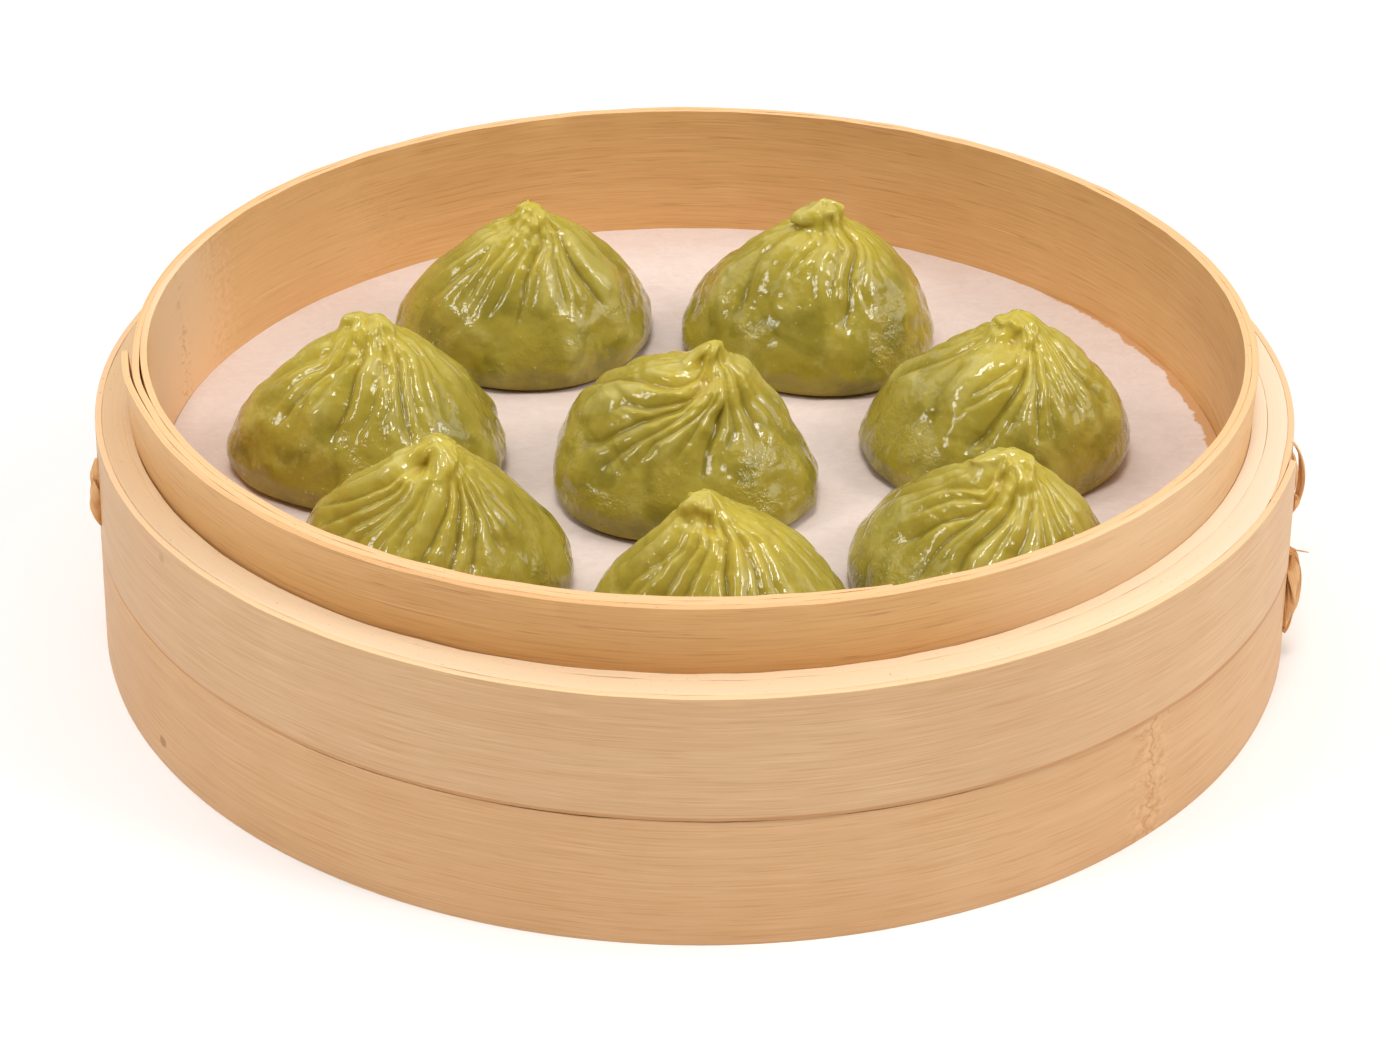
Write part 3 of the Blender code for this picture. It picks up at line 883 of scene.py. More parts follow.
@dataclass
class InnerHoop:
    """The wound strip that the food sits in, with its sprung outer end."""

    centre: Pair = (-0.6, -0.6)
    start_radius: float = 101.0
    ply: float = 1.25
    pitch: float = 1.27
    inner_end: float = -72.0
    turns: float = 818.0
    splay: float = 0.85
    splay_length: float = 19.0
    spring: float = 0.4
    spring_angle: float = -163.5
    spring_width: float = 4.5
    spring_from: float = 300.0
    low_share: float = 0.15
    scarf: float = 0.55
    scarf_length: float = 12.0
    bottom: float = 13.0
    ledge: float = 46.5
    rim: float = 58.3

    def face(self, turned: np.ndarray) -> np.ndarray:
        """Radius of the strip's inner face after some degrees of winding."""
        return self.start_radius + self.pitch * turned / 360.0

    def lift(self, turned: np.ndarray) -> np.ndarray:
        """Extra radius at the rim, where the outer plies spring off.

        Args:
            turned: Degrees of winding from the inner end.

        Returns:
            Millimetres at full height.
        """
        away = wrapped(self.inner_end - turned - self.spring_angle)
        sprung = self.spring * np.exp(-((away / self.spring_width) ** 2))
        sprung = np.where(turned > self.spring_from, sprung, 0.0)
        loose = np.maximum(turned - self.turns + self.splay_length, 0.0) / self.splay_length
        return sprung + self.splay * loose**2

    def rise(self, z: np.ndarray) -> np.ndarray:
        """How much of the lift shows at a height.

        Args:
            z: Heights.

        Returns:
            Shares from 0 to 1.
        """
        low = np.clip((z - self.bottom) / (self.ledge - self.bottom), 0.0, 1.0)
        high = np.clip((z - self.ledge) / (self.rim - self.ledge), 0.0, 1.0)
        return self.low_share * low + (1.0 - self.low_share) * high

    def inner(self, turned: np.ndarray, z: np.ndarray) -> np.ndarray:
        """Radius of the inner face, scarfed at the inner end."""
        scarf = self.scarf * self.ply * (1.0 - smooth(turned / self.scarf_length))
        return self.face(turned) + scarf + self.lift(turned) * self.rise(z)

    def outer(self, turned: np.ndarray, z: np.ndarray) -> np.ndarray:
        """Radius of the outer face."""
        return self.face(turned) + self.ply + self.lift(turned) * self.rise(z)

    def build(self, material: bpy.types.Material) -> None:
        """Wind the strip.

        Args:
            material: The strip's finish.
        """
        strip = Strip(
            "inner_hoop_strip", Side(self.centre, self.inner), Side(self.centre, self.outer),
            self.inner_end, self.turns, self.bottom, self.rim, self.ply,
            bevel=0.07, rows=10, seed=4, wave=0.04, chip=0.08,
        )
        settle(strip.build(), Slot.INNER, material, "inner_hoop")


@dataclass
class Ledge:
    """The two packing hoops whose tops make the ledge."""

    hoop: InnerHoop
    split_centre: Pair = (-0.3, -0.2)
    split_radius: float = 107.2
    gap: float = 0.35
    gap_azimuth: float = -138.0
    gap_width: float = 30.0
    clearance: float = 0.03
    open_split: float = 0.04
    pressed: float = 0.36
    join: float = 12.0
    sweep: float = 359.9
    top: float = 46.5

    def inner_edge(self, turned: np.ndarray, z: np.ndarray) -> np.ndarray:
        """Radius of the ledge's inner edge about the inner hoop's centre.

        Args:
            turned: Degrees from the hoop's join.
            z: Heights; not used.

        Returns:
            The radii.
        """
        behind = (self.hoop.inner_end - (self.join - turned)) % 360.0
        last = self.hoop.turns - 720.0
        base = self.hoop.face(360.0 + behind) + self.hoop.ply
        ply = self.hoop.pitch * (1.0 - smooth((behind - last - 6.0) / 12.0))
        azimuth = wrapped(self.join - turned)
        near = np.exp(-(((azimuth - self.gap_azimuth) / self.gap_width) ** 2))
        return base + ply + self.clearance + self.gap * near

    def split(self, turned: np.ndarray) -> np.ndarray:
        """How far the two hoops stand apart; at the left they press tight.

        Args:
            turned: Degrees from the hoop's join.

        Returns:
            Millimetres, below 0 where they press tight.
        """
        azimuth = (self.join - turned) % 360.0
        left = smooth((azimuth - 130.0) / 20.0) * smooth((262.0 - azimuth) / 18.0)
        return self.open_split - self.pressed * left

    def build(self, wall: "Wall", material: bpy.types.Material) -> None:
        """Bend the two packing hoops.

        Args:
            wall: The bands that the outer hoop stands in.
            material: The finish of both hoops.
        """
        middle = Side(self.split_centre, lambda turned, z: self.split_radius + 0 * turned + 0 * z)
        spacer = Strip(
            "packing_hoop_inner", Side(self.hoop.centre, self.inner_edge), middle,
            self.join, self.sweep, self.hoop.bottom, self.top, 3.4,
            bevel=0.12, rows=4, step=2.0, seed=8, wave=0.03, chip=0.07,
        )
        settle(spacer.build(), Slot.LEDGE, material, "spacer_hoop")
        gap = Side(
            self.split_centre, lambda turned, z: self.split_radius + self.split(turned) + 0 * z
        )
        outer = Side((0.0, 0.0), lambda turned, z: wall.core_face(self.join - turned, z))
        core = Strip(
            "packing_hoop_outer", gap, outer, self.join, self.sweep, 0.0, self.top, 4.0,
            bevel=0.12, rows=4, step=2.0, seed=9, wave=0.03, chip=0.06,
        )
        settle(core.build(), Slot.LEDGE, material, "core_hoop")


@dataclass
class Wall:
    """The two outer bands: a ring below, and a strip lapped on itself above."""

    ply: float = 1.2
    foot_radius: float = 115.0
    foot_join: float = -14.6
    foot_sweep: float = 359.95
    lean: float = 0.05
    end_radius: float = 113.07
    end_azimuth: float = -18.0
    pitch: float = 1.24
    overlap: float = 8.0
    tail: float = 10.0
    end_lift: float = 0.12
    end_length: float = 8.0
    seam: float = 23.9
    seam_gap: float = 0.2
    top: float = 46.5
    gap: float = 0.03
    scarf: float = 0.85
    blend: float = 2.0

    def outer(self, turned: np.ndarray, z: np.ndarray) -> np.ndarray:
        """Radius of the upper band's outer face, wound from its free end.

        Args:
            turned: Degrees of winding from the free end.
            z: Heights.

        Returns:
            The radii.
        """
        lift = self.end_lift * np.clip(1.0 - turned / self.end_length, 0.0, 1.0) ** 2
        lift = lift * np.clip((z - self.seam) / (self.top - self.seam), 0.0, 1.0)
        return self.end_radius - self.pitch * turned / 360.0 + self.lean * (self.top - z) + lift

    def inner(self, turned: np.ndarray, z: np.ndarray) -> np.ndarray:
        """Radius of the upper band's inner face, which thins to its hidden end."""
        scarf = smooth((turned - 360.0 - self.overlap + self.tail) / self.tail)
        return self.outer(turned, z) - self.ply * (1.0 - self.scarf * scarf)

    def core_face(self, azimuth: np.ndarray, z: np.ndarray) -> np.ndarray:
        """Radius of the packing hoop's outer face, inside both bands.

        Args:
            azimuth: Azimuths in degrees.
            z: Heights.

        Returns:
            The radii.
        """
        turned = (self.end_azimuth - azimuth) % 360.0
        lapped = turned < self.overlap
        face = self.inner(np.where(lapped, turned + 360.0, turned), z) - self.gap
        start = self.inner(360.0 + self.overlap + 0 * turned, z) - self.gap
        blend = np.where(lapped, 1.0, smooth((turned - self.overlap) / self.blend))
        upper = start + (face - start) * blend
        foot = self.foot_radius - self.lean * z - self.ply - self.gap
        return np.where(z > self.seam, upper, np.minimum(upper, foot))

    def radius(self, azimuth: float, z: float) -> float:
        """Radius of the outside of the wall at an azimuth and a height.

        Args:
            azimuth: The azimuth in degrees.
            z: The height.

        Returns:
            The radius.
        """
        if z < self.seam:
            return self.foot_radius - self.lean * z
        turned = (self.end_azimuth - azimuth) % 360.0
        return float(self.outer(np.array(turned), np.array(z)))

    def build(self, upper: bpy.types.Material, lower: bpy.types.Material) -> None:
        """Bend both bands.

        Args:
            upper: The upper band's finish.
            lower: The lower band's finish.
        """
        face = Side((0.0, 0.0), self.outer)
        back = Side((0.0, 0.0), self.inner)
        band = Strip(
            "wall_band_top", back, face, self.end_azimuth, 360.0 + self.overlap,
            self.seam + self.seam_gap, self.top, self.ply,
            bevel=0.10, rows=10, seed=14, wave=0.04, chip=0.05,
            seam_at=(-180, -160, -140, -118, -100, -62, -56, -45, -42, -20, 0, 180),
            seam_open=(-0.2, -0.26, -0.22, -0.06, 0.02, -0.08, -0.02, 0.08, -0.26, -0.24, 0, 0),
        )
        settle(band.build(), Slot.WALL, upper, "wall_band_upper")
        foot = Side((0.0, 0.0), lambda turned, z: self.foot_radius - self.lean * z + 0 * turned)
        hollow = Side(
            (0.0, 0.0), lambda turned, z: self.foot_radius - self.ply - self.lean * z + 0 * turned
        )
        ring = Strip(
            "wall_band_bottom", hollow, foot, self.foot_join, self.foot_sweep,
            0.0, self.seam, self.ply, bevel=0.12, rows=10, seed=15, wave=0.04, chip=0.10,
        )
        settle(ring.build(), Slot.WALL, lower, "wall_band_lower")


@dataclass
class Liner:
    """The round of steaming paper that the dumplings stand on."""

    centre: Pair = (-0.6, -0.6)
    gap: float = 0.03
    top: float = 30.2
    sink: float = 0.1
    thickness: float = 0.24
    rings: int = 40
    columns: int = 180

    def build(self, hoop: InnerHoop, material: bpy.types.Material) -> None:
        """Make the sheet, cut to fill the hoop, with slight waves.

        Args:
            hoop: The hoop that the sheet fills.
            material: The sheet's finish.
        """
        angle = np.linspace(0.0, TURN, self.columns, endpoint=False)
        edge = hoop.face((hoop.inner_end - np.degrees(angle)) % 360.0) - self.gap
        share = (np.arange(1, self.rings + 1) / self.rings) ** 0.8
        r = share[:, None] * edge[None, :]
        middle = np.array([*self.centre, 0.0])
        flat = np.stack([r * np.cos(angle), r * np.sin(angle), 0 * r], -1) + middle
        wave = Ripple(34.0, 31).at(flat) * 0.10 + Ripple(12.0, 32).at(flat) * 0.03
        curl = smooth((share[:, None] - 0.94) / 0.06) * (0.3 + 0.25 * np.sin(2 * angle + 0.4))
        z = self.top - self.sink + wave * share[:, None] + np.maximum(curl, 0.0)
        upper = flat + np.stack([0 * r, 0 * r, z], -1)
        down = np.array([0.0, 0.0, self.thickness])
        rings = np.concatenate([upper, (upper - down)[::-1]], 0)
        middle = middle[None, :] + [0.0, 0.0, self.top - self.sink]
        points = np.concatenate([rings.reshape(-1, 3), middle, middle - down])
        faces = grid_faces(2 * self.rings, self.columns)
        last = len(points) - 1
        for j in range(self.columns):
            k = (j + 1) % self.columns
            faces.append([j, k, last - 1])
            base = (2 * self.rings - 1) * self.columns
            faces.append([base + k, base + j, last])
        obj = new_object("liner_sheet", points, faces, {})
        settle(obj, Slot.PAPER, material, "paper_liner")


# The dumplings


@dataclass(frozen=True)
class Crease:
    """A valley between two pleats: shares of the height and azimuths, rising."""

    path: tuple[Pair, ...]
    depth: float
    width: float
    end: float = NEVER

    def azimuth(self, share: np.ndarray, twist: np.ndarray) -> np.ndarray:
        """Azimuth of the valley at each share of the height.

        Args:
            share: Shares of the height.
            twist: The dough's mean twist there, in degrees.

        Returns:
            Azimuths in degrees, carried on with the twist past the path.
        """
        shares = [p[0] for p in self.path]
        inside = np.interp(share, shares, [p[1] for p in self.path])
        top = np.interp(shares[-1], share, twist)
        return inside + np.where(share > shares[-1], (twist - top) * 1.1, 0.0)

    def strength(self, share: np.ndarray) -> np.ndarray:
        """How open the valley is at each share of the height.

        Args:
            share: Shares of the height.

        Returns:
            Strengths, 0 where it is closed.
        """
        first, last = self.path[0][0], self.path[-1][0]
        grown = smooth((share - first + 0.10) / 0.16)
        merged = 1.0 - 0.62 * smooth((share - last) / 0.09)
        return self.depth * grown * merged * (1.0 - smooth((share - self.end) / 0.10))


@dataclass(frozen=True)
class Dent:
    """A soft hollow, or a swelling where its depth is negative."""

    azimuth: float
    share: float
    size: float
    depth: float


@dataclass(frozen=True)
class Knot:
    """The pinched and twisted top."""

    neck: float
    knob: float
    tip: float
    lobes: float
    turn: float
    slant: float
    slant_azimuth: float
    point: float
    seed: int


@dataclass
class Dumpling:
    """One pleated dumpling."""

    name: str
    centre: Pair
    height: float
    radius: float
    tip: Pair
    shoulder: Pair
    oval: Pair
    lobed: Pair
    swirl: float
    seed: int
    knot: Knot
    creases: tuple[Crease, ...]
    dents: tuple[Dent, ...]
    base: float = 30.5
    columns: int = 320
    rows: int = 116
    pleat_spacing: float = 19.0
    fold_power: float = 2.4
    fullness: float = 0.9
    # How strongly the valleys are painted as shade, and the push at which a ridge is painted fully as
    # light.
    valley: float = 0.72
    ridge: float = 0.7
    knot_rise: float = 6.0
    levels: tuple[float, ...] = (0.0, 0.13, 0.30, 0.48, 0.65, 0.80, 0.90, 0.96, 1.0)

    def widths(self) -> tuple[list[float], list[float]]:
        """Shares of the height and of the radius that shape the bell.

        Returns:
            The shares of the height and those of the radius.
        """
        shares = [0.0, 0.02, 0.06, 0.13, 0.20, 0.30, 0.48, 0.65, 0.80, 0.90, 0.95, 0.98, 0.995, 1.0]
        knot = self.knot
        spread = [0.95, 0.99, 1.015, 1.022, 1.0, 0.945, 0.80, 0.60, 0.375, knot.neck, knot.knob]
        spread += [0.5 * knot.knob + 0.3 * knot.tip, 0.52 * knot.tip, 0.012]
        return shares, spread

    def twist(self, share: np.ndarray) -> np.ndarray:
        """The dough's mean twist, in degrees."""
        return self.swirl * smooth((share - 0.25) / 0.75)

    def all_creases(self) -> list[Crease]:
        """The listed valleys, and even ones on the side that has none.

        Returns:
            Every valley of the dumpling.
        """
        found = list(self.creases)
        first = min(c.path[0][1] for c in found)
        last = max(c.path[0][1] for c in found)
        room = first + 360.0 - last
        count = max(int(room / self.pleat_spacing), 1)
        rng = np.random.default_rng(self.seed)
        for i in range(1, count):
            azimuth = last + room * i / count + rng.uniform(-3.0, 3.0)
            low = 0.5 + rng.uniform(-0.06, 0.06)
            at = np.array([low, 0.62, 0.72, 0.80])
            line = azimuth + self.twist(at) - self.twist(at[:1])
            path = tuple(zip(at.tolist(), line.tolist()))
            found.append(Crease(path, rng.uniform(0.7, 1.1), 1.0))
        return found

    def surface(self) -> tuple[np.ndarray, np.ndarray]:
        """The dumpling's skin.

        Returns:
            Points in millimetres and the dough attribute, as rows of rings.
        """
        shares, spread = self.widths()
        dense = np.linspace(0.0, 1.0, 800)
        width = monotone(dense, shares, spread)
        run = np.hypot(np.diff(width * self.radius), np.diff(dense * self.height))
        run = np.concatenate([[0.0], np.cumsum(run)])
        share = np.interp(np.linspace(0.0, run[-1], self.rows), run, dense)
        width = monotone(share, shares, spread)
        slope_r = np.gradient(width * self.radius, share * self.height)
        out_r, out_z = 1.0 / np.sqrt(1 + slope_r**2), -slope_r / np.sqrt(1 + slope_r**2)
        out_z = np.clip(out_z, -0.3, 0.8)
        twist = self.twist(share)
        base = np.linspace(0.0, 360.0, self.columns, endpoint=False)
        azimuth = base[None, :] + twist[:, None]
        flat = np.radians(base)[None, :]
        outline = 1 + self.oval[0] * np.cos(2 * flat) + self.oval[1] * np.sin(2 * flat)
        outline = outline + self.lobed[0] * np.cos(3 * flat) + self.lobed[1] * np.sin(3 * flat)
        reach = self.radius * width[:, None] * outline
        push, valley = self.folds(share, width, azimuth)
        lumps, hollow = self.unevenness(share, reach, azimuth)
        push += lumps
        valley = np.maximum(valley, hollow)
        knot_reach, slant = self.knot_shape(share, azimuth)
        reach = reach * knot_reach + push * out_r[:, None]
        rise = share[:, None] * self.height + push * out_z[:, None]
        rise = rise + slant * reach / self.radius * self.knot_rise
        lean = monotone(share, self.levels, (0.0, 0.05, 0.12, 0.26, 0.47, 0.78, 1.0, 1.0, 1.0))
        belly = monotone(share, self.levels, (0.0, 0.15, 0.50, 0.90, 1.0, 0.62, 0.28, 0.1, 0.0))
        angle = np.radians(azimuth)
        shift = [
            tip * lean[:, None] + shoulder * belly[:, None]
            for tip, shoulder in zip(self.tip, self.shoulder)
        ]
        x, y = shift[0] + reach * np.cos(angle), shift[1] + reach * np.sin(angle)
        rise = np.maximum(rise, 0.02)
        points = np.stack([x + self.centre[0], y + self.centre[1], rise + self.base], -1)
        # The dough attribute: the cover of valleys and hollows, painted as shade; the share of the
        # height; how far a ridge stands out, painted as light.
        high = np.clip(push / self.ridge, 0.0, 1.0)
        return points, np.stack([valley, share[:, None] + 0 * azimuth, high], -1)

    def folds(
        self, share: np.ndarray, width: np.ndarray, azimuth: np.ndarray
    ) -> tuple[np.ndarray, np.ndarray]:
        """How far the pleats push the skin out, and how deep each valley is.

        Args:
            share: Share of the height of each row.
            width: Share of the radius of each row.
            azimuth: Azimuth of each point, in degrees.

        Returns:
            The push in millimetres and the valley's cover from 0 to 1.
        """
        reach = self.radius * width
        knots = (0.0, 0.2, 0.34, 0.48, 0.65, 0.80, 0.90, 1.0)
        deep = monotone(share, knots, (0.0, 0.05, 0.55, 1.05, 1.35, 1.2, 0.92, 0.5))
        knots = (0.0, 0.4, 0.65, 0.80, 0.90, 1.0)
        wide = monotone(share, knots, (2.4, 1.9, 1.35, 0.95, 0.6, 0.45))
        steps = np.hypot(np.diff(reach), np.diff(share) * self.height)
        run = np.concatenate([[0.0], np.cumsum(steps)])
        total = np.zeros_like(azimuth)
        cover = np.zeros_like(azimuth)
        twist = self.twist(share)
        for crease in self.all_creases():
            line = crease.azimuth(share, twist)
            slope = np.gradient(np.radians(line), run) * reach
            squeeze = 1.0 / np.sqrt(1.0 + np.clip(slope, -6.0, 6.0) ** 2)
            away = np.radians(wrapped(azimuth - line[:, None])) * (reach * squeeze)[:, None]
            strength = crease.strength(share)[:, None]
            broad = crease.width * wide[:, None] * np.where(away > 0.0, 0.8, 1.3)
            dip = np.exp(-(np.sqrt(away**2 + 0.05) - 0.22) / broad)
            total += (deep[:, None] * strength * dip) ** self.fold_power
            near = np.exp(-((away / (0.4 * crease.width * wide[:, None] + 0.1)) ** 2))
            near = near * strength * np.clip(deep[:, None], 0.0, 1.0)
            cover = np.maximum(cover, near * self.valley)
        push = -(total ** (1.0 / self.fold_power))
        push -= push.mean(1, keepdims=True) * self.fullness
        return push, np.clip(cover, 0.0, 1.0)

    def unevenness(
        self, share: np.ndarray, reach: np.ndarray, azimuth: np.ndarray
    ) -> tuple[np.ndarray, np.ndarray]:
        """Soft lumps and dents, and the hollows of the knot.

        Args:
            share: Share of the height of each row.
            reach: Radius of each point.
            azimuth: Azimuth of each point.

        Returns:
            The push in millimetres and the hollows' cover from 0 to 1.
        """
        flat = reach[..., None] * bearing(azimuth)
        place = np.concatenate([flat, (share[:, None] * self.height + 0 * reach)[..., None]], -1)
        calm = smooth(share / 0.08)[:, None]
        low = (1.0 - smooth((share - 0.5) / 0.3))[:, None]
        push = 0.26 * Ripple(15.0, self.seed).at(place)
        push = push + 0.2 * low * Ripple(8.0, self.seed + 7).at(place)
        push = calm * (push + 0.07 * Ripple(4.0, self.seed + 8).at(place))
        push += 0.16 * smooth((share - 0.78) / 0.10)[:, None] * Ripple(2.4, self.seed + 9).at(place)
        hollow = np.zeros_like(azimuth)
        for dent in self.dents:
            across = np.radians(wrapped(azimuth - dent.azimuth)) * reach
            over = (share[:, None] - dent.share) * self.height * 1.15
            near = np.exp(-(across**2 + over**2) / dent.size**2)
            push = push - dent.depth * near
            # Dents high on the knot join the hollows that are painted as shade.
            hollow = np.maximum(hollow, near * min(dent.depth, 1.0) * (dent.share > 0.8))
        return push, hollow

    def knot_shape(self, share: np.ndarray, azimuth: np.ndarray) -> tuple[np.ndarray, np.ndarray]:
        """How the twisted top spreads and slants.

        Args:
            share: Share of the height of each row.
            azimuth: Azimuth of each point.

        Returns:
            A factor on the reach and a rise in millimetres.
        """
        knot = self.knot
        grown = smooth((share - 0.84) / 0.10)[:, None]
        rng = np.random.default_rng(knot.seed + 90)
        turned = np.radians(azimuth - knot.turn * smooth((share - 0.86) / 0.14)[:, None])
        wave = np.zeros_like(azimuth)
        for count in (2, 3, 5, 7):
            weight = rng.uniform(0.5, 1.0) / math.sqrt(count)
            wave += weight * np.cos(count * turned + rng.uniform(0.0, 6.28))
        factor = 1.0 + grown * knot.lobes * wave
        slant = knot.slant * grown * np.cos(np.radians(azimuth - knot.slant_azimuth))
        return factor, slant

    def build(self, material: bpy.types.Material) -> None:
        """Make the dumpling's mesh.

        Args:
            material: The dough.
        """
        points, dough = self.surface()
        columns, rows = self.columns, self.rows
        faces = grid_faces(rows, columns)
        flat = points.reshape(-1, 3)
        foot = np.array([[self.centre[0], self.centre[1], self.base]])
        peak = points[-1].mean(0) + [0.0, 0.0, self.knot.point]
        first = len(flat)
        for j in range(columns):
            k = (j + 1) % columns
            faces.append([k, j, first])
            faces.append([(rows - 1) * columns + j, (rows - 1) * columns + k, first + 1])
        values = np.concatenate([dough.reshape(-1, 3), [[0.0, 0.0, 0.0], [0.0, 1.0, 0.3]]])
        every = np.concatenate([flat, foot, peak[None, :]])
        obj = new_object(self.name + "_folded", every, faces, {"dough": values}, 180.0)
        settle(obj, Slot.DOUGH, material, self.name)


def creases(*rows: tuple[float, ...]) -> tuple[Crease, ...]:
    """The valleys of one dumpling.

    Args:
        rows: Depth and width against the usual ones, then a share of the height
            in percent and an azimuth in turn. One number more is the share where
            the valley closes.

    Returns:
        The creases.
    """
    return tuple(
        Crease(
            tuple((share / 100, azimuth) for share, azimuth in zip(row[2::2], row[3::2])),
            row[0], row[1], row[-1] / 100 if len(row) % 2 else NEVER,
        )
        for row in rows
    )


def dents(*rows: tuple[float, ...]) -> tuple[Dent, ...]:
    """Dents from rows of azimuth, share of the height in percent, size and depth."""
    return tuple(Dent(azimuth, share / 100, size, depth) for azimuth, share, size, depth in rows)


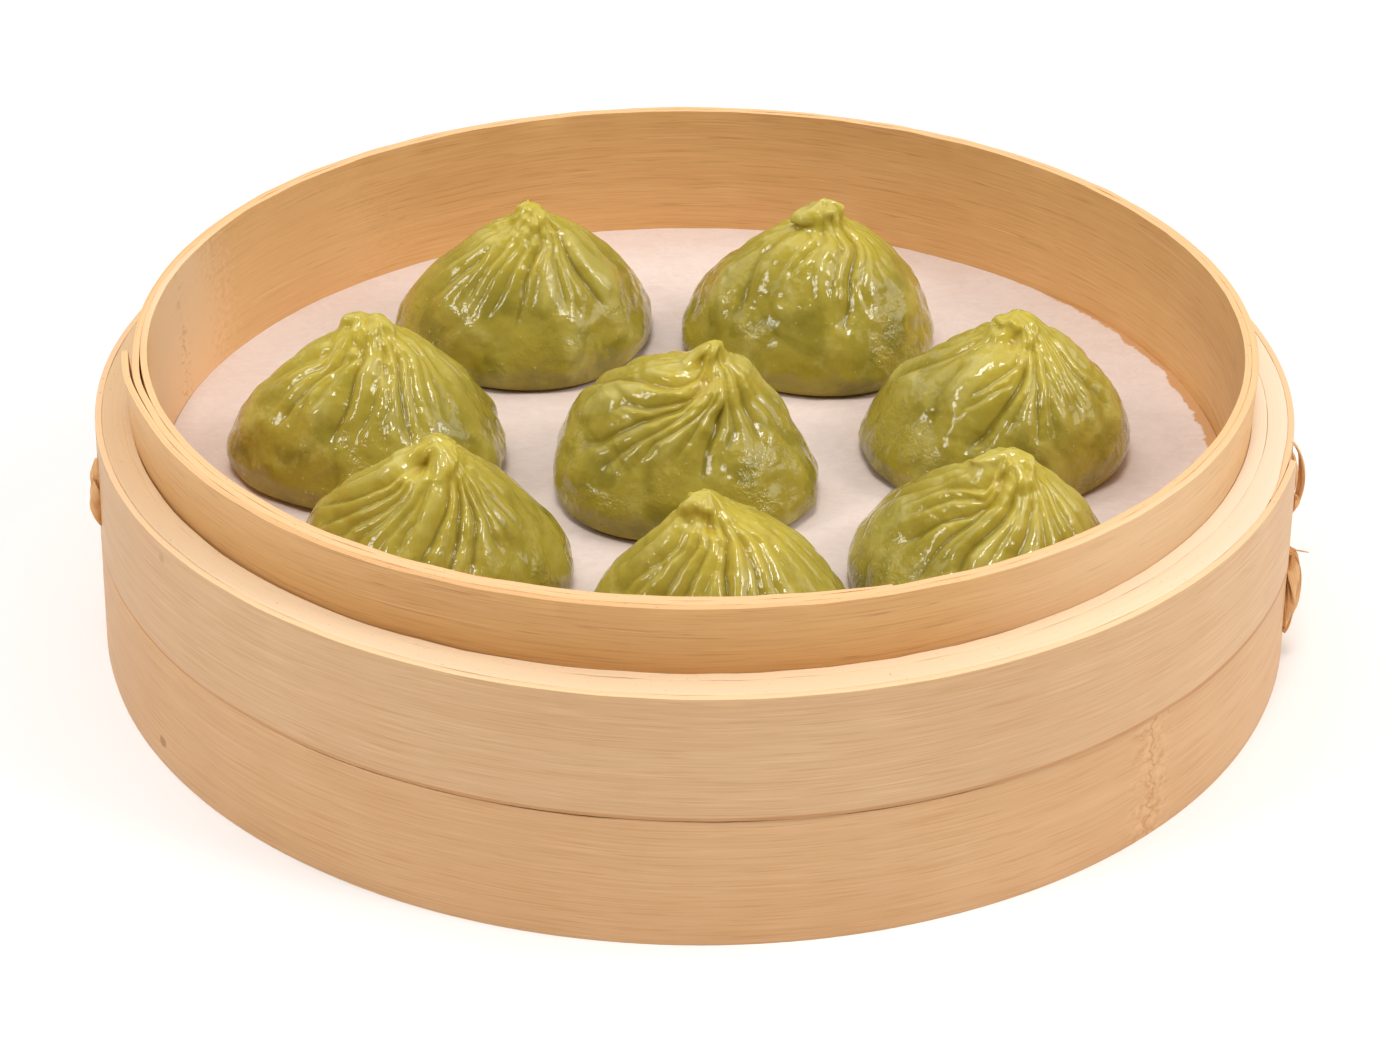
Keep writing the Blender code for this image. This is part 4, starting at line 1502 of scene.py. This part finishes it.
DUMPLINGS: tuple[Dumpling, ...] = (
    Dumpling(
        "dumpling_back_left", (-34.8, 42.8), 33, 24.6, (0.7, -4.4), (-0.2, -0.54), (0.039, 0.059),
        (-0.047, 0.009), 34, 11,
        Knot(0.19, 0.115, 0.05, 0.14, 70, 0.8, -60, 0.5, 3),
        creases(
            (0.6, 1.2, 57, -163, 65, -160, 76, -152),
            (0.9, 1.1, 47, -150, 57, -146, 65, -141, 71, -136),
            (0.5, 1, 52, -139, 60, -135, 68, -132),
            (0.8, 1, 50, -127, 60, -126, 70, -123, 76, -118),
            (0.7, 0.9, 46, -119, 55, -118, 65, -115, 72, -110, 80, -102),
            (0.8, 1, 46, -110, 60, -104, 68, -101, 76, -96, 81, -87),
            (1.2, 0.9, 44, -93, 52, -91, 60, -89, 66, -88, 72, -84, 77, -78, 82, -66),
            (0.7, 0.8, 52, -84, 62, -81, 70, -77, 76, -70, 80, -60),
            (0.9, 0.9, 50, -62, 60, -61, 68, -60, 75, -57, 81, -48),
            (0.6, 0.6, 44, -56, 55, -54, 67, -53, 75, -49, 80, -41),
            (1.5, 1.2, 46, -38, 60, -40, 67, -41, 73, -40, 78, -36, 82, -30, 85, -19),
            (0.5, 1.2, 66, -12, 74, -8, 80, 0),
        ),
        dents(
            (-166, 50, 5, 0.5), (-22, 55, 8, -0.5), (-45, 42, 3, 0.3), (-140, 90, 1.8, 0.7),
            (-75, 87, 1.4, 0.4), (-30, 93, 1.6, -0.4),
        ),
    ),
    Dumpling(
        "dumpling_back_right", (23.4, 42.5), 32.7, 25.1, (1.2, -2.8), (0.6, -0.54), (0.016, 0),
        (-0.033, 0.002), 26, 12,
        Knot(0.165, 0.165, 0.12, 0.18, 25, 0.9, -30, 0.1, 5),
        creases(
            (0.6, 1.2, 60, -178, 72, -172),
            (1.2, 1.5, 44, -142, 53, -144, 60, -149, 66, -155, 72, -160, 80, -158),
            (0.5, 1, 62, -128, 70, -127, 75, -126, 79, -122),
            (0.8, 1, 70, -118, 77, -110, 80, -104, 83.5, -92),
            (0.5, 1.3, 38, -99, 44, -96, 52, -92, 62, -97, 72, -100, 80, -96),
            (0.9, 0.9, 58, -84, 67, -81, 75, -76, 80, -66),
            (1.5, 0.9, 45, -76, 54, -71.5, 62, -69, 68, -66, 74, -58, 78, -48, 83, -36),
            (0.7, 0.8, 55, -61, 64, -61, 69, -54, 74, -43, 79, -32),
            (0.5, 1.2, 62, -41, 70, -37, 76, -28), (0.6, 1.4, 66, -29, 72, -26, 77, -17),
            (0.5, 1.2, 64, -6, 74, 0),
        ),
        dents(
            (-47, 50, 3.6, 0.7), (-110, 64, 3, 0.5), (-130, 47, 3.6, 0.6), (-158, 24, 4.5, 0.6),
            (-160, 50, 4.5, -0.6), (-118, 56, 4, -0.4), (-175, 93, 1.8, -1.5),
            (-140, 92.5, 1.3, -0.9), (-95, 96, 1.2, 0.6), (-60, 96, 1.2, -0.6),
            (-20, 99, 1, -0.7), (-120, 99.5, 0.9, -0.5),
        ),
    ),
    Dumpling(
        "dumpling_left", (-60.9, -9.1), 31.8, 24.9, (0.3, -1.9), (-0.1, -1.1), (0.033, -0.024),
        (-0.064, -0.014), 22, 13,
        Knot(0.225, 0.165, 0.1, 0.14, 45, 0.3, 180, 0, 7),
        creases(
            (0.8, 1.1, 55, -176, 65, -174, 76, -164, 81, -150),
            (0.7, 1.1, 61, -167, 69, -165.7, 75, -160, 80, -147),
            (0.8, 1, 56, -153, 67, -152, 73, -148, 78, -139),
            (1.1, 1, 50, -143, 60, -141, 68, -138.5, 71, -137, 75, -133, 80, -122),
            (0.6, 1.3, 36, -135, 44, -133, 52, -132, 60, -133, 67, -133, 72, -128, 78, -118),
            (0.7, 1, 60, -125, 70, -123, 76, -118.6, 81, -110, 84, -99),
            (1.3, 1, 50, -107, 56, -104, 62, -101, 71, -100, 77, -99, 81, -94),
            (0.8, 0.9, 50, -92, 58, -86, 66, -80, 72, -77, 78, -72),
            (0.7, 0.7, 48, -78, 57, -76, 63, -71, 70, -68.6, 76, -61),
            (1.3, 0.7, 46, -64, 50, -63, 57, -62.5, 63, -61, 70, -58.6, 77, -53, 82, -47),
            (0.8, 0.7, 52, -57, 63, -54, 70, -50, 76, -44, 80, -38.6),
            (0.8, 0.8, 54, -47, 62, -43, 71, -36, 76, -28.6, 80, -20),
            (0.8, 0.9, 54, -38.6, 61, -34, 70, -27, 77, -18.6), (0.8, 1, 68, -17, 76, -8, 80, 2),
            (1.1, 1, 74, -68, 77, -67, 81, -66, 85, -60),
        ),
        dents(
            (-163, 54, 4, 0.8), (-24, 66, 2.4, 0.5), (-99, 48, 3, 0.4), (-90, 78, 2.4, -0.5),
            (180, 96, 1.5, -0.55), (-15, 96, 1.5, -0.55), (-88, 98.5, 1.1, 0.7),
            (90, 98.5, 1.1, 0.7), (-110, 90, 1.4, 0.5),
        ),
    ),
    Dumpling(
        "dumpling_centre", (-2.8, -17.8), 31.9, 23.6, (5, -3.9), (-2.6, 0.72), (0.028, -0.045),
        (0.04, -0.034), 48, 14,
        Knot(0.15, 0.11, 0.065, 0.12, 60, 1.3, -10, 0.3, 9),
        creases(
            (1.5, 1.7, 62, -196, 70, -190, 73, -184, 78, -164, 79.3, -147, 82, -121, 86, -104),
            (1.5, 1.8, 68, -146, 70, -137, 71, -127, 74, -116, 76.5, -104, 79, -92),
            (1.7, 1.7, 46, -150, 51, -141, 55, -137, 59, -132, 65, -123, 70, -110, 73.5, -97),
            (1, 0.9, 39, -131, 44, -127, 49, -123.5, 52, -120, 58, -113, 63, -104, 70, -90),
            (0.8, 0.8, 47, -110, 57, -104, 63, -91, 68, -78.5, 73, -70),
            (0.8, 0.8, 49, -90, 56, -84, 63, -77, 69, -70, 74, -62),
            (1.8, 0.9, 38, -75, 44, -72, 50, -70, 56, -66, 61, -60, 66, -56, 69),
            (0.9, 0.9, 50, -58, 58, -47, 67, -44, 74, -46, 80, -44),
            (1.2, 1.1, 50, -35, 60, -29, 66, -27, 71, -26, 78, -24),
            (0.8, 1, 42, -18.5, 57, -13, 67, -12, 76, -10), (0.6, 1, 50, -4, 60, -3, 72, -4),
        ),
        dents(
            (-150, 52, 4.5, 0.7), (-128, 44, 2.6, 0.5), (-78, 84, 2.6, 0.8), (-30, 65, 2.6, 0.4),
            (-165, 66, 5, -0.7), (180, 92.5, 1.8, -1.3), (-118, 92.5, 1.4, 0.9),
            (-150, 90, 1.2, -0.5), (-10, 97, 1.2, -0.3),
        ),
    ),
    Dumpling(
        "dumpling_front_left", (-45.3, -56.1), 32, 23, (1.3, -3.5), (-1.9, -0.14), (0.021, 0.018),
        (-0.014, 0.05), 30, 15,
        Knot(0.225, 0.16, 0.1, 0.16, 60, 0.7, 30, 0, 11),
        creases(
            (1.2, 1.1, 54, -184, 60, -178, 63, -174, 70, -161, 77, -151, 81, -143),
            (1.1, 1, 52, -166, 59, -161, 64, -153, 70, -144, 75, -136, 80, -127),
            (0.9, 1, 50, -148, 57, -143, 61, -141, 66, -133, 72, -123, 77, -116),
            (0.8, 1, 50, -133, 57, -130, 61, -127, 66, -120, 72, -114, 76, -110),
            (0.7, 0.7, 56, -112, 61, -110, 68, -104, 73, -98.6, 78, -94),
            (0.8, 0.8, 55, -101, 64, -98, 70, -91, 75, -90, 79, -88),
            (1.3, 0.8, 50, -88, 57, -84, 62, -78.6, 68, -73, 73, -67, 78, -63),
            (1.5, 0.8, 44, -74, 49, -71, 55, -67, 62, -61, 68, -57, 74, -51, 79, -47),
            (1.3, 0.8, 44, -61, 50, -57, 56, -53, 61, -48, 65, -43, 70, -40, 77, -38),
            (0.9, 0.9, 50, -38, 58, -37, 63, -33, 70, -31, 77, -30),
            (0.7, 0.9, 42, -27, 55, -26, 65, -24, 72, -20, 78, -14),
            (0.8, 1, 44, -14, 60, -12, 70, -11, 76, -10), (0.6, 1.2, 50, 0, 65, 2, 76, 8),
        ),
        dents(
            (-36, 52, 2.4, 0.3), (-122, 92.5, 1.7, 1.8), (172, 90, 2, -1), (-60, 95.5, 1.7, -0.8),
            (-160, 87.5, 1.6, -0.8), (90, 98, 2, -0.5),
        ),
    ),
    Dumpling(
        "dumpling_right", (56.5, -3.2), 31.8, 24.7, (2.9, -4), (0.8, -2.18), (0.018, 0.006),
        (0.022, 0.021), 38, 16,
        Knot(0.2, 0.15, 0.09, 0.14, 60, 0.4, 200, 0.5, 13),
        creases(
            (0.8, 1.2, 62, -172, 68, -170, 75, -168, 80, -158),
            (0.9, 2, 42, -138, 52, -141, 58, -147, 63, -151, 72, -152, 79, -142, 70),
            (1, 1, 64, -124, 67, -121, 73, -113, 77, -104, 80, -97),
            (0.8, 0.8, 58, -124, 61, -120, 66, -114, 70, -107, 73, -98.6),
            (1.8, 1, 42, -112, 50, -106, 55, -104, 60, -101, 66, -97, 70, -93, 76, -86),
            (0.9, 0.8, 50, -95, 58, -91, 65, -87, 70, -81, 77, -76),
            (1.2, 0.8, 48, -77, 60, -76, 65, -75.7, 72, -74, 77, -73, 82, -70),
            (0.8, 0.6, 50, -66.6, 60, -67, 64, -66.5, 70, -64, 76, -62),
            (0.9, 0.8, 64, -58, 71, -60, 76, -60, 80, -61),
            (0.7, 0.7, 56, -52, 66, -52, 74, -53, 80, -52),
            (0.7, 0.7, 56, -44, 66, -44, 74, -44, 80, -42), (0.7, 0.7, 58, -36, 70, -36, 80, -32),
            (1, 1, 48, -19, 58, -21.5, 65, -24, 70, -27, 78, -26),
            (0.6, 1, 50, -6, 62, -9, 74, -12),
        ),
        dents(
            (-148, 56, 5.5, 0.6), (-110, 45, 3, 0.6), (-135, 66, 4, -0.5), (-91, 57, 2.4, 0.4),
            (-108, 89.5, 1.4, 1.2), (-170, 90, 2, -0.8), (-40, 93, 1.8, -0.5),
        ),
    ),
    Dumpling(
        "dumpling_front", (4.5, -74.6), 30.6, 22.6, (-2.4, 0.4), (1.9, 0.02), (0.023, -0.06),
        (-0.05, -0.014), 24, 17,
        Knot(0.205, 0.135, 0.07, 0.16, 50, 0.9, 150, 0.4, 15),
        creases(
            (0.9, 1, 46, -167, 56, -163, 64, -156, 71, -150, 78, -142),
            (0.8, 0.9, 50, -155, 55, -153, 64, -148.6, 71, -144, 78, -134),
            (1, 0.9, 52, -139, 57, -137, 63, -135, 69, -133, 75, -127, 80, -118),
            (1, 0.8, 54, -125, 59, -123, 63, -121, 68, -118.6, 74, -113, 80, -104),
            (0.6, 0.9, 58, -110, 66, -106, 73, -99, 80, -90),
            (1.5, 0.9, 56, -92, 62, -91, 71, -90, 76, -84, 80, -80, 84, -71),
            (0.9, 0.8, 58, -78, 65, -76, 70, -71, 75, -67, 80, -60),
            (1.1, 0.8, 58, -69, 67, -67, 72, -64, 78, -61, 81, -57),
            (0.8, 0.8, 60, -58, 68, -56, 74, -50, 77, -47, 81, -41),
            (0.7, 0.9, 58, -40, 65, -38.6, 71, -36, 76, -34, 80, -28),
            (0.6, 1, 58, -24, 70, -20, 78, -12), (0.6, 1, 55, -8, 68, -4, 77, 4),
        ),
        dents(
            (-95, 88.5, 1.3, 1.1), (-140, 91, 1.8, 0.6), (-165, 95, 1.4, -0.8),
            (-50, 92, 1.5, -0.6), (-115, 95, 1.1, -0.5),
        ),
    ),
    Dumpling(
        "dumpling_front_right", (49, -55), 30.2, 23.6, (3.6, -3.3), (0.7, -0.94), (-0.04, -0.009),
        (0.04, 0.013), 42, 18,
        Knot(0.225, 0.16, 0.1, 0.14, 60, 0.4, -20, 0.3, 17),
        creases(
            (0.9, 1, 64, -185, 71, -181, 77, -176, 81, -161, 83, -147, 85, -133),
            (1, 1, 62, -172, 67, -168.6, 71, -164, 76, -156, 79.5, -140, 81, -121),
            (1.3, 1.1, 52, -158, 56, -156, 62, -151, 67, -146, 71, -136, 74, -127, 78, -120, 81, -108),
            (1.4, 1, 42, -133, 50, -133, 57, -132, 63, -130, 67, -127, 72, -121, 78, -116, 82, -111),
            (0.6, 0.8, 52, -123, 60, -122, 67, -118, 73, -112, 79, -104),
            (1.5, 0.7, 52, -112, 60, -112, 64, -110, 69, -104, 73, -98.6, 78, -91, 81, -87),
            (0.6, 0.7, 58, -98, 66, -93, 73, -86, 79, -80),
            (1.1, 0.9, 56, -84, 63, -81, 67, -77, 71, -73, 76, -68.6, 79, -64),
            (0.8, 0.8, 58, -62, 67, -60, 72, -58.6, 78, -57),
            (0.8, 0.9, 56, -46, 65, -45.7, 72, -45, 78, -42),
            (0.7, 0.9, 56, -35, 63, -34, 70, -33, 76, -30), (0.6, 1, 56, -20, 68, -17, 78, -10),
            (0.5, 1, 56, -5, 68, 0, 78, 8),
        ),
        dents(
            (-155, 46, 5, 0.7), (-112, 90, 1.5, 0.8), (-172, 92.5, 2, -1.4),
            (-25, 95.5, 1.5, -0.7), (-80, 96, 1.2, -0.4),
        ),
    ),
)


# The rattan


@dataclass
class Strand:
    """A flat strip of rattan that turns as it goes."""

    path: np.ndarray
    width: float
    thickness: float
    turns: float
    phase: float = 0.0
    sides: int = 14
    end_share: float = 0.35
    groove: float = 0.07
    grooves: float = 5.0

    def rings(self, outward: np.ndarray) -> tuple[np.ndarray, np.ndarray]:
        """Cross-sections along the strand.

        Args:
            outward: The direction off the wall.

        Returns:
            Points as rows of rings, and their grain.
        """
        stations = len(self.path)
        ways = np.gradient(self.path, axis=0)
        ways /= np.linalg.norm(ways, axis=1, keepdims=True)
        side = np.cross(ways, outward)
        side /= np.linalg.norm(side, axis=1, keepdims=True)
        up = np.cross(side, ways)
        share = np.linspace(0.0, 1.0, stations)
        spin = self.phase + self.turns * TURN * share
        swell = np.sin(np.pi * np.clip(share, 0.02, 0.98)) ** 0.4
        thin = self.end_share + (1.0 - self.end_share) * swell
        angle = np.linspace(0.0, TURN, self.sides, endpoint=False)
        groove = 1.0 + self.groove * np.cos(angle * self.grooves)
        wide = self.width / 2.0 * np.cos(angle) * groove
        tall = self.thickness / 2.0 * np.sin(angle) * groove
        cosine, sine = np.cos(spin)[:, None], np.sin(spin)[:, None]
        a = (wide[None, :] * cosine - tall[None, :] * sine) * thin[:, None]
        b = (wide[None, :] * sine + tall[None, :] * cosine) * thin[:, None]
        points = self.path[:, None, :] + a[..., None] * side[:, None, :]
        points = points + b[..., None] * up[:, None, :]
        steps = np.linalg.norm(np.diff(self.path, axis=0), axis=1)
        run = np.concatenate([[0.0], np.cumsum(steps)])
        around = np.abs(angle - math.pi)[None, :] * MM
        return points, np.stack([run[:, None] * MM + 0 * a, around + 0 * a, 0 * a], -1)


@dataclass
class Lashing:
    """A tie of several strands between two holes in the wall."""

    name: str
    azimuth: float
    top: float
    bottom: float
    reach: float
    strands: tuple[tuple[float, ...], ...]
    stray: bool = False
    stray_sides: int = 8
    stray_start: Pair = (113.9, 24.4)
    stray_end: Pair = (117.4, 24.6)
    stray_shift: float = 0.6

    def axes(self) -> tuple[np.ndarray, np.ndarray, np.ndarray]:
        """The directions off the wall, along it and upwards.

        Returns:
            Three unit vectors.
        """
        azimuth = math.radians(self.azimuth)
        out = np.array([math.cos(azimuth), math.sin(azimuth), 0.0])
        side = np.array([-math.sin(azimuth), math.cos(azimuth), 0.0])
        return out, side, np.array([0.0, 0.0, 1.0])

    def line(self, wall: Wall, spec: tuple[float, ...], count: int = 56) -> np.ndarray:
        """The line that a strand follows.

        Args:
            wall: The wall that it is tied to.
            spec: High and low end as shares, bow, sideways shift, sway, sway turns and phase.
            count: Points on the line.

        Returns:
            The points.
        """
        high, low, bow, shift, sway, turns, phase = spec
        out, side, up = self.axes()
        share = np.linspace(0.0, 1.0, count)
        z = self.bottom + (self.top - self.bottom) * (high + (low - high) * share)
        wall_at = np.array([wall.radius(self.azimuth, float(h)) for h in z])
        wall_at = np.minimum(wall_at, np.interp(z, [22.0, 27.0], [114.5, 113.9]) + 0.3)
        arch = np.sin(math.pi * share) ** 0.6
        swing = phase + turns * TURN * share
        away = wall_at - 0.15 + self.reach * bow * arch + 0.45 * sway * np.cos(swing) * arch
        across = shift * arch + sway * np.sin(swing) * arch
        return away[:, None] * out + across[:, None] * side + z[:, None] * up

    def build(self, wall: Wall, material: bpy.types.Material) -> None:
        """Twist the strands together into one piece.

        Args:
            wall: The wall that it is tied to.
            material: The strands' finish.
        """
        out, side, up = self.axes()
        points, grain, faces = [], [], []
        strands = [Strand(self.line(wall, spec[:7]), *spec[7:]) for spec in self.strands]
        if self.stray:
            share = np.linspace(0.0, 1.0, 20)[:, None]
            start = out * self.stray_start[0] + up * self.stray_start[1]
            stop = out * self.stray_end[0] - side * self.stray_shift + up * self.stray_end[1]
            line = start + (stop - start) * share
            strands.append(Strand(line, 0.32, 0.24, 0.5, sides=self.stray_sides))
        for strand in strands:
            rings, marks = strand.rings(up if strand.sides == self.stray_sides else out)
            first = sum(len(p) for p in points)
            columns, rows = strand.sides, len(rings)
            faces += grid_faces(rows, columns, first)
            faces.append([first + j for j in range(columns)][::-1])
            faces.append([first + (rows - 1) * columns + j for j in range(columns)])
            points.append(rings.reshape(-1, 3))
            grain.append(marks.reshape(-1, 3))
        values = {"grain": np.concatenate(grain)}
        obj = new_object(self.name + "_tie", np.concatenate(points), faces, values)
        settle(obj, Slot.RATTAN, material, self.name)


LASHINGS: tuple[Lashing, ...] = (
    Lashing("lashing_left", -164.5, 42.0, 28.0, 1.0, (
        (1.0, 0.0, 0.95, 0.0, 0.6, 1.5, 0.0, 2.2, 0.9, 1.0),
        (0.98, 0.02, 0.9, 0.1, 0.6, 1.5, 3.14, 2.1, 0.9, 1.0, 1.2),
        (0.90, 0.10, 0.35, 0.3, 0.3, 1.0, 1.0, 1.8, 0.8, 0.5),
        (0.95, 0.06, 0.25, -0.9, 0.3, 1.0, 0.0, 1.4, 0.6, 0.5),
    )),
    Lashing("lashing_right_upper", -14.6, 46.4, 31.0, 1.9, (
        (1.0, 0.02, 1.3, 0.4, 0.1, 0.5, 0.0, 0.9, 0.7, 0.2),
        (1.0, 0.10, 1.1, 1.4, 0.2, 0.8, 1.0, 1.2, 0.6, 0.45),
        (0.88, 0.26, 0.55, -0.8, 0.1, 0.5, 0.0, 0.9, 0.9, 0.15),
        (0.36, 0.12, 1.0, -0.7, 0.4, 0.9, 0.0, 1.0, 0.6, 0.6),
        (0.22, -0.22, 0.3, -0.4, 0.1, 0.5, 0.0, 0.9, 0.5, 0.2),
    )),
    Lashing("lashing_right_lower", -14.6, 26.0, 6.5, 1.5, (
        (1.0, 0.02, 1.05, 0.3, 0.9, 1.0, 0.0, 3.2, 0.7, 0.5),
        (0.97, 0.0, 0.95, 0.1, 0.9, 1.0, 3.14, 3.0, 0.7, 0.5, 1.3),
        (1.02, 0.55, 0.8, -0.9, 0.3, 0.7, 0.0, 0.9, 0.5, 0.4),
        (1.03, 0.62, 0.6, -1.4, 0.3, 0.5, 0.5, 0.8, 0.5, 0.3),
        (0.60, 0.04, 0.55, -1.5, 0.3, 0.5, 0.5, 1.0, 0.5, 0.3),
    ), True),
)


# The studio


@dataclass
class Lamp:
    """A soft rectangular light aimed at the basket."""

    name: str
    place: tuple[float, float, float]
    size: Pair
    power: float
    colour: Colour = (1.0, 1.0, 1.0)
    aim: tuple[float, float, float] = (0.0, 0.0, 0.04)

    def build(self) -> None:
        """Hang the light."""
        data = bpy.data.lights.new(self.name, "AREA")
        data.shape = "RECTANGLE"
        data.size, data.size_y = self.size
        data.energy = self.power
        data.color = self.colour
        lamp = bpy.data.objects.new(self.name, data)
        bpy.context.scene.collection.objects.link(lamp)
        lamp.location = self.place
        aim = Vector(self.aim) - Vector(self.place)
        lamp.rotation_euler = aim.to_track_quat("-Z", "Y").to_euler()


@dataclass
class Studio:
    """The table, the lamps and the camera."""

    lens: float = 68.085
    place: tuple[float, float, float] = (0.0, -0.45044, 0.27573)
    look: tuple[float, float, float] = (0.00160723, 0.86254864, -0.5059716)
    roll: float = 0.0105646
    sensor: float = 36.0
    clip: Pair = (0.01, 20.0)
    sky: float = 0.13
    table_size: float = 6000.0
    table_cells: int = 12
    table_drop: float = 0.02
    lamps: tuple[Lamp, ...] = (
        Lamp("lamp_right", (1.73, -0.06, 1.35), (1.5, 1.5), 17.0, (1.0, 0.985, 0.96)),
        Lamp("lamp_right_front", (1.55, -0.55, 1.45), (0.42, 0.5), 8.0),
        Lamp("lamp_left", (-1.57, -0.73, 1.35), (0.55, 0.55), 11.0),
        Lamp("lamp_left_behind", (-1.19, 1.0, 1.56), (1.6, 1.6), 9.0),
        Lamp("lamp_top", (0.0, 0.2, 2.2), (2.2, 2.2), 17.5),
        Lamp("lamp_above", (-0.1, -0.55, 2.12), (0.52, 0.52), 17.5),
    )

    def build(self) -> None:
        """Set up everything that isn't part of the object."""
        scene = bpy.context.scene
        scene.view_settings.view_transform = "Standard"
        scene.view_settings.look = "None"
        scene.view_settings.exposure = 0.0
        scene.view_settings.gamma = 1.0
        world = bpy.data.worlds.new("soft_sky")
        world.use_nodes = True
        sky = world.node_tree.nodes["Background"]
        sky.inputs["Color"].default_value = (1.0, 1.0, 1.0, 1.0)
        sky.inputs["Strength"].default_value = self.sky
        scene.world = world
        for lamp in self.lamps:
            lamp.build()
        self.table()
        self.camera()

    def table(self) -> None:
        """Lay the pale table top."""
        count = self.table_cells + 1
        line = np.linspace(-self.table_size / 2, self.table_size / 2, count)
        x, y = np.meshgrid(line, line, indexing="ij")
        points = np.stack([x, y, 0 * x - self.table_drop], -1).reshape(-1, 3)
        corners = [i * count + j for i in range(count - 1) for j in range(count - 1)]
        faces = [[k, k + count, k + count + 1, k + 1] for k in corners]
        top = new_object("table_top", points, faces, {})
        top.data.materials.append(TableFinish().build())

    def camera(self) -> None:
        """Set up the camera."""
        data = bpy.data.cameras.new("camera")
        data.lens = self.lens
        data.sensor_width = self.sensor
        data.sensor_fit = "HORIZONTAL"
        data.clip_start, data.clip_end = self.clip
        camera = bpy.data.objects.new("camera", data)
        bpy.context.scene.collection.objects.link(camera)
        ahead = Vector(self.look).normalized()
        right = ahead.cross(Vector((0.0, 0.0, 1.0))).normalized()
        up = right.cross(ahead)
        cosine, sine = math.cos(self.roll), math.sin(self.roll)
        turned = right * cosine + up * sine
        lifted = up * cosine - right * sine
        rotation = Matrix((turned, lifted, -ahead)).transposed()
        camera.matrix_world = Matrix.Translation(self.place) @ rotation.to_4x4()
        bpy.context.scene.camera = camera


def dress_floor() -> None:
    """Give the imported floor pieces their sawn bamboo."""
    across = SlatFinish("floor_slats", True).build()
    along = SlatFinish("floor_battens", False).build()
    for name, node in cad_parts.items():
        if name.startswith("floor_"):
            finish = along if "batten" in name else across
            node.data.materials.clear()
            node.data.materials.append(finish)
            LOG.info("%s: packed solid with sawn bamboo", name)


def make_finishes() -> dict[str, bpy.types.Material]:
    """Make every finish of the basket.

    Returns:
        The materials by name.
    """
    edge, edge_line = tone(243, 196, 144), tone(218, 156, 94)
    inner = BambooFinish(
        "bamboo_inner", tone(237, 189, 126), tone(221, 168, 104), tone(192, 134, 76),
        edge, edge_line, 3.0, lines=0.28, streaks=0.6, gloss=0.46,
        marks=(
            # Painted shade over the hoop's outer plies at the front; painted light on its right front
            # and on its left inside.
            Mark(MarkKind.TAN, -826.0, 22.0, 125.0, 48.0, 0.75),
            Mark(MarkKind.PAINTED_LIGHT, -764.0, 22.0, 60.0, 40.0, 0.4),
            Mark(MarkKind.PAINTED_LIGHT, -187.0, 40.0, 36.0, 40.0, 0.3),
            Mark(MarkKind.PALE, -184.0, 62.0, 40.0, 38.0, 1.0),
            Mark(MarkKind.PALE, -212.0, 66.0, 40.0, 30.0, 0.3),
            Mark(MarkKind.NODE, -189.0, 60.0, 5.0, 30.0, 0.12),
            Mark(MarkKind.STAIN, -793.0, 22.0, 9.0, 2.5, 0.5),
        ),
    )
    ledge = BambooFinish(
        "bamboo_ledge", tone(242, 212, 178), tone(230, 194, 155), tone(192, 142, 96),
        tone(243, 215, 180), tone(234, 200, 158), 13.0, lines=0.3, gloss=0.5,
        marks=(
            # Painted shade darkens the ledge at the left and a little at the front; painted light
            # brightens it at the right.
            Mark(MarkKind.TAN, -172.0, 41.0, 115.0, 40.0, 0.9),
            Mark(MarkKind.TAN, -90.0, 41.0, 90.0, 40.0, 0.3),
            Mark(MarkKind.PAINTED_LIGHT, -15.0, 41.0, 80.0, 40.0, 0.75),
        ),
    )
    upper = BambooFinish(
        "bamboo_wall_upper", tone(226, 185, 139), tone(214, 168, 120), tone(196, 140, 85),
        tone(245, 206, 162), tone(230, 180, 124), 23.0, lines=0.35, gloss=0.45, seam=0.9,
        marks=(
            Mark(MarkKind.SPOT, -143.1, 19.6, 1.2, 1.0, 0.3),
            # The lashing holes, painted as shade.
            Mark(MarkKind.HOLE, -14.6 - 360.0, 21.0, 0.9, 0.8, 1.0),
            Mark(MarkKind.HOLE, -164.5, 18.0, 0.9, 0.8, 1.0),
            Mark(MarkKind.HOLE, -164.5, 3.8, 0.9, 0.8, 1.0),
        ),
    )
    lower = BambooFinish(
        "bamboo_wall_lower", tone(226, 181, 132), tone(213, 163, 110), tone(200, 136, 73),
        edge, tone(222, 166, 102), 33.0, lines=0.38, gloss=0.45,
        marks=(
            Mark(MarkKind.SPOT, -144.9, 4.7, 1.5, 1.3, 0.75),
            Mark(MarkKind.NODE, -47.2, 12.0, 7.0, 12.0, 0.5),
        ),
    )
    return {
        "inner": inner.build(), "ledge": ledge.build(), "upper": upper.build(),
        "lower": lower.build(), "paper": PaperFinish().build(), "dough": DoughFinish().build(),
        "rattan": RattanFinish().build(),
    }


def main() -> None:
    """Build the basket, the dumplings and the studio."""
    logging.basicConfig(level=logging.INFO, format="%(name)s: %(message)s", stream=sys.stdout)
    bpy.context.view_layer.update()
    for name in ("Cube", "Light", "Camera"):
        if name in bpy.data.objects:
            bpy.data.objects.remove(bpy.data.objects[name], do_unlink=True)
    finishes = make_finishes()
    hoop, wall = InnerHoop(), Wall()
    hoop.build(finishes["inner"])
    Ledge(hoop).build(wall, finishes["ledge"])
    wall.build(finishes["upper"], finishes["lower"])
    dress_floor()
    Liner().build(hoop, finishes["paper"])
    for dumpling in DUMPLINGS:
        dumpling.build(finishes["dough"])
    for tie in LASHINGS:
        tie.build(wall, finishes["rattan"])
    Studio().build()


if __name__ == "__main__":
    main()
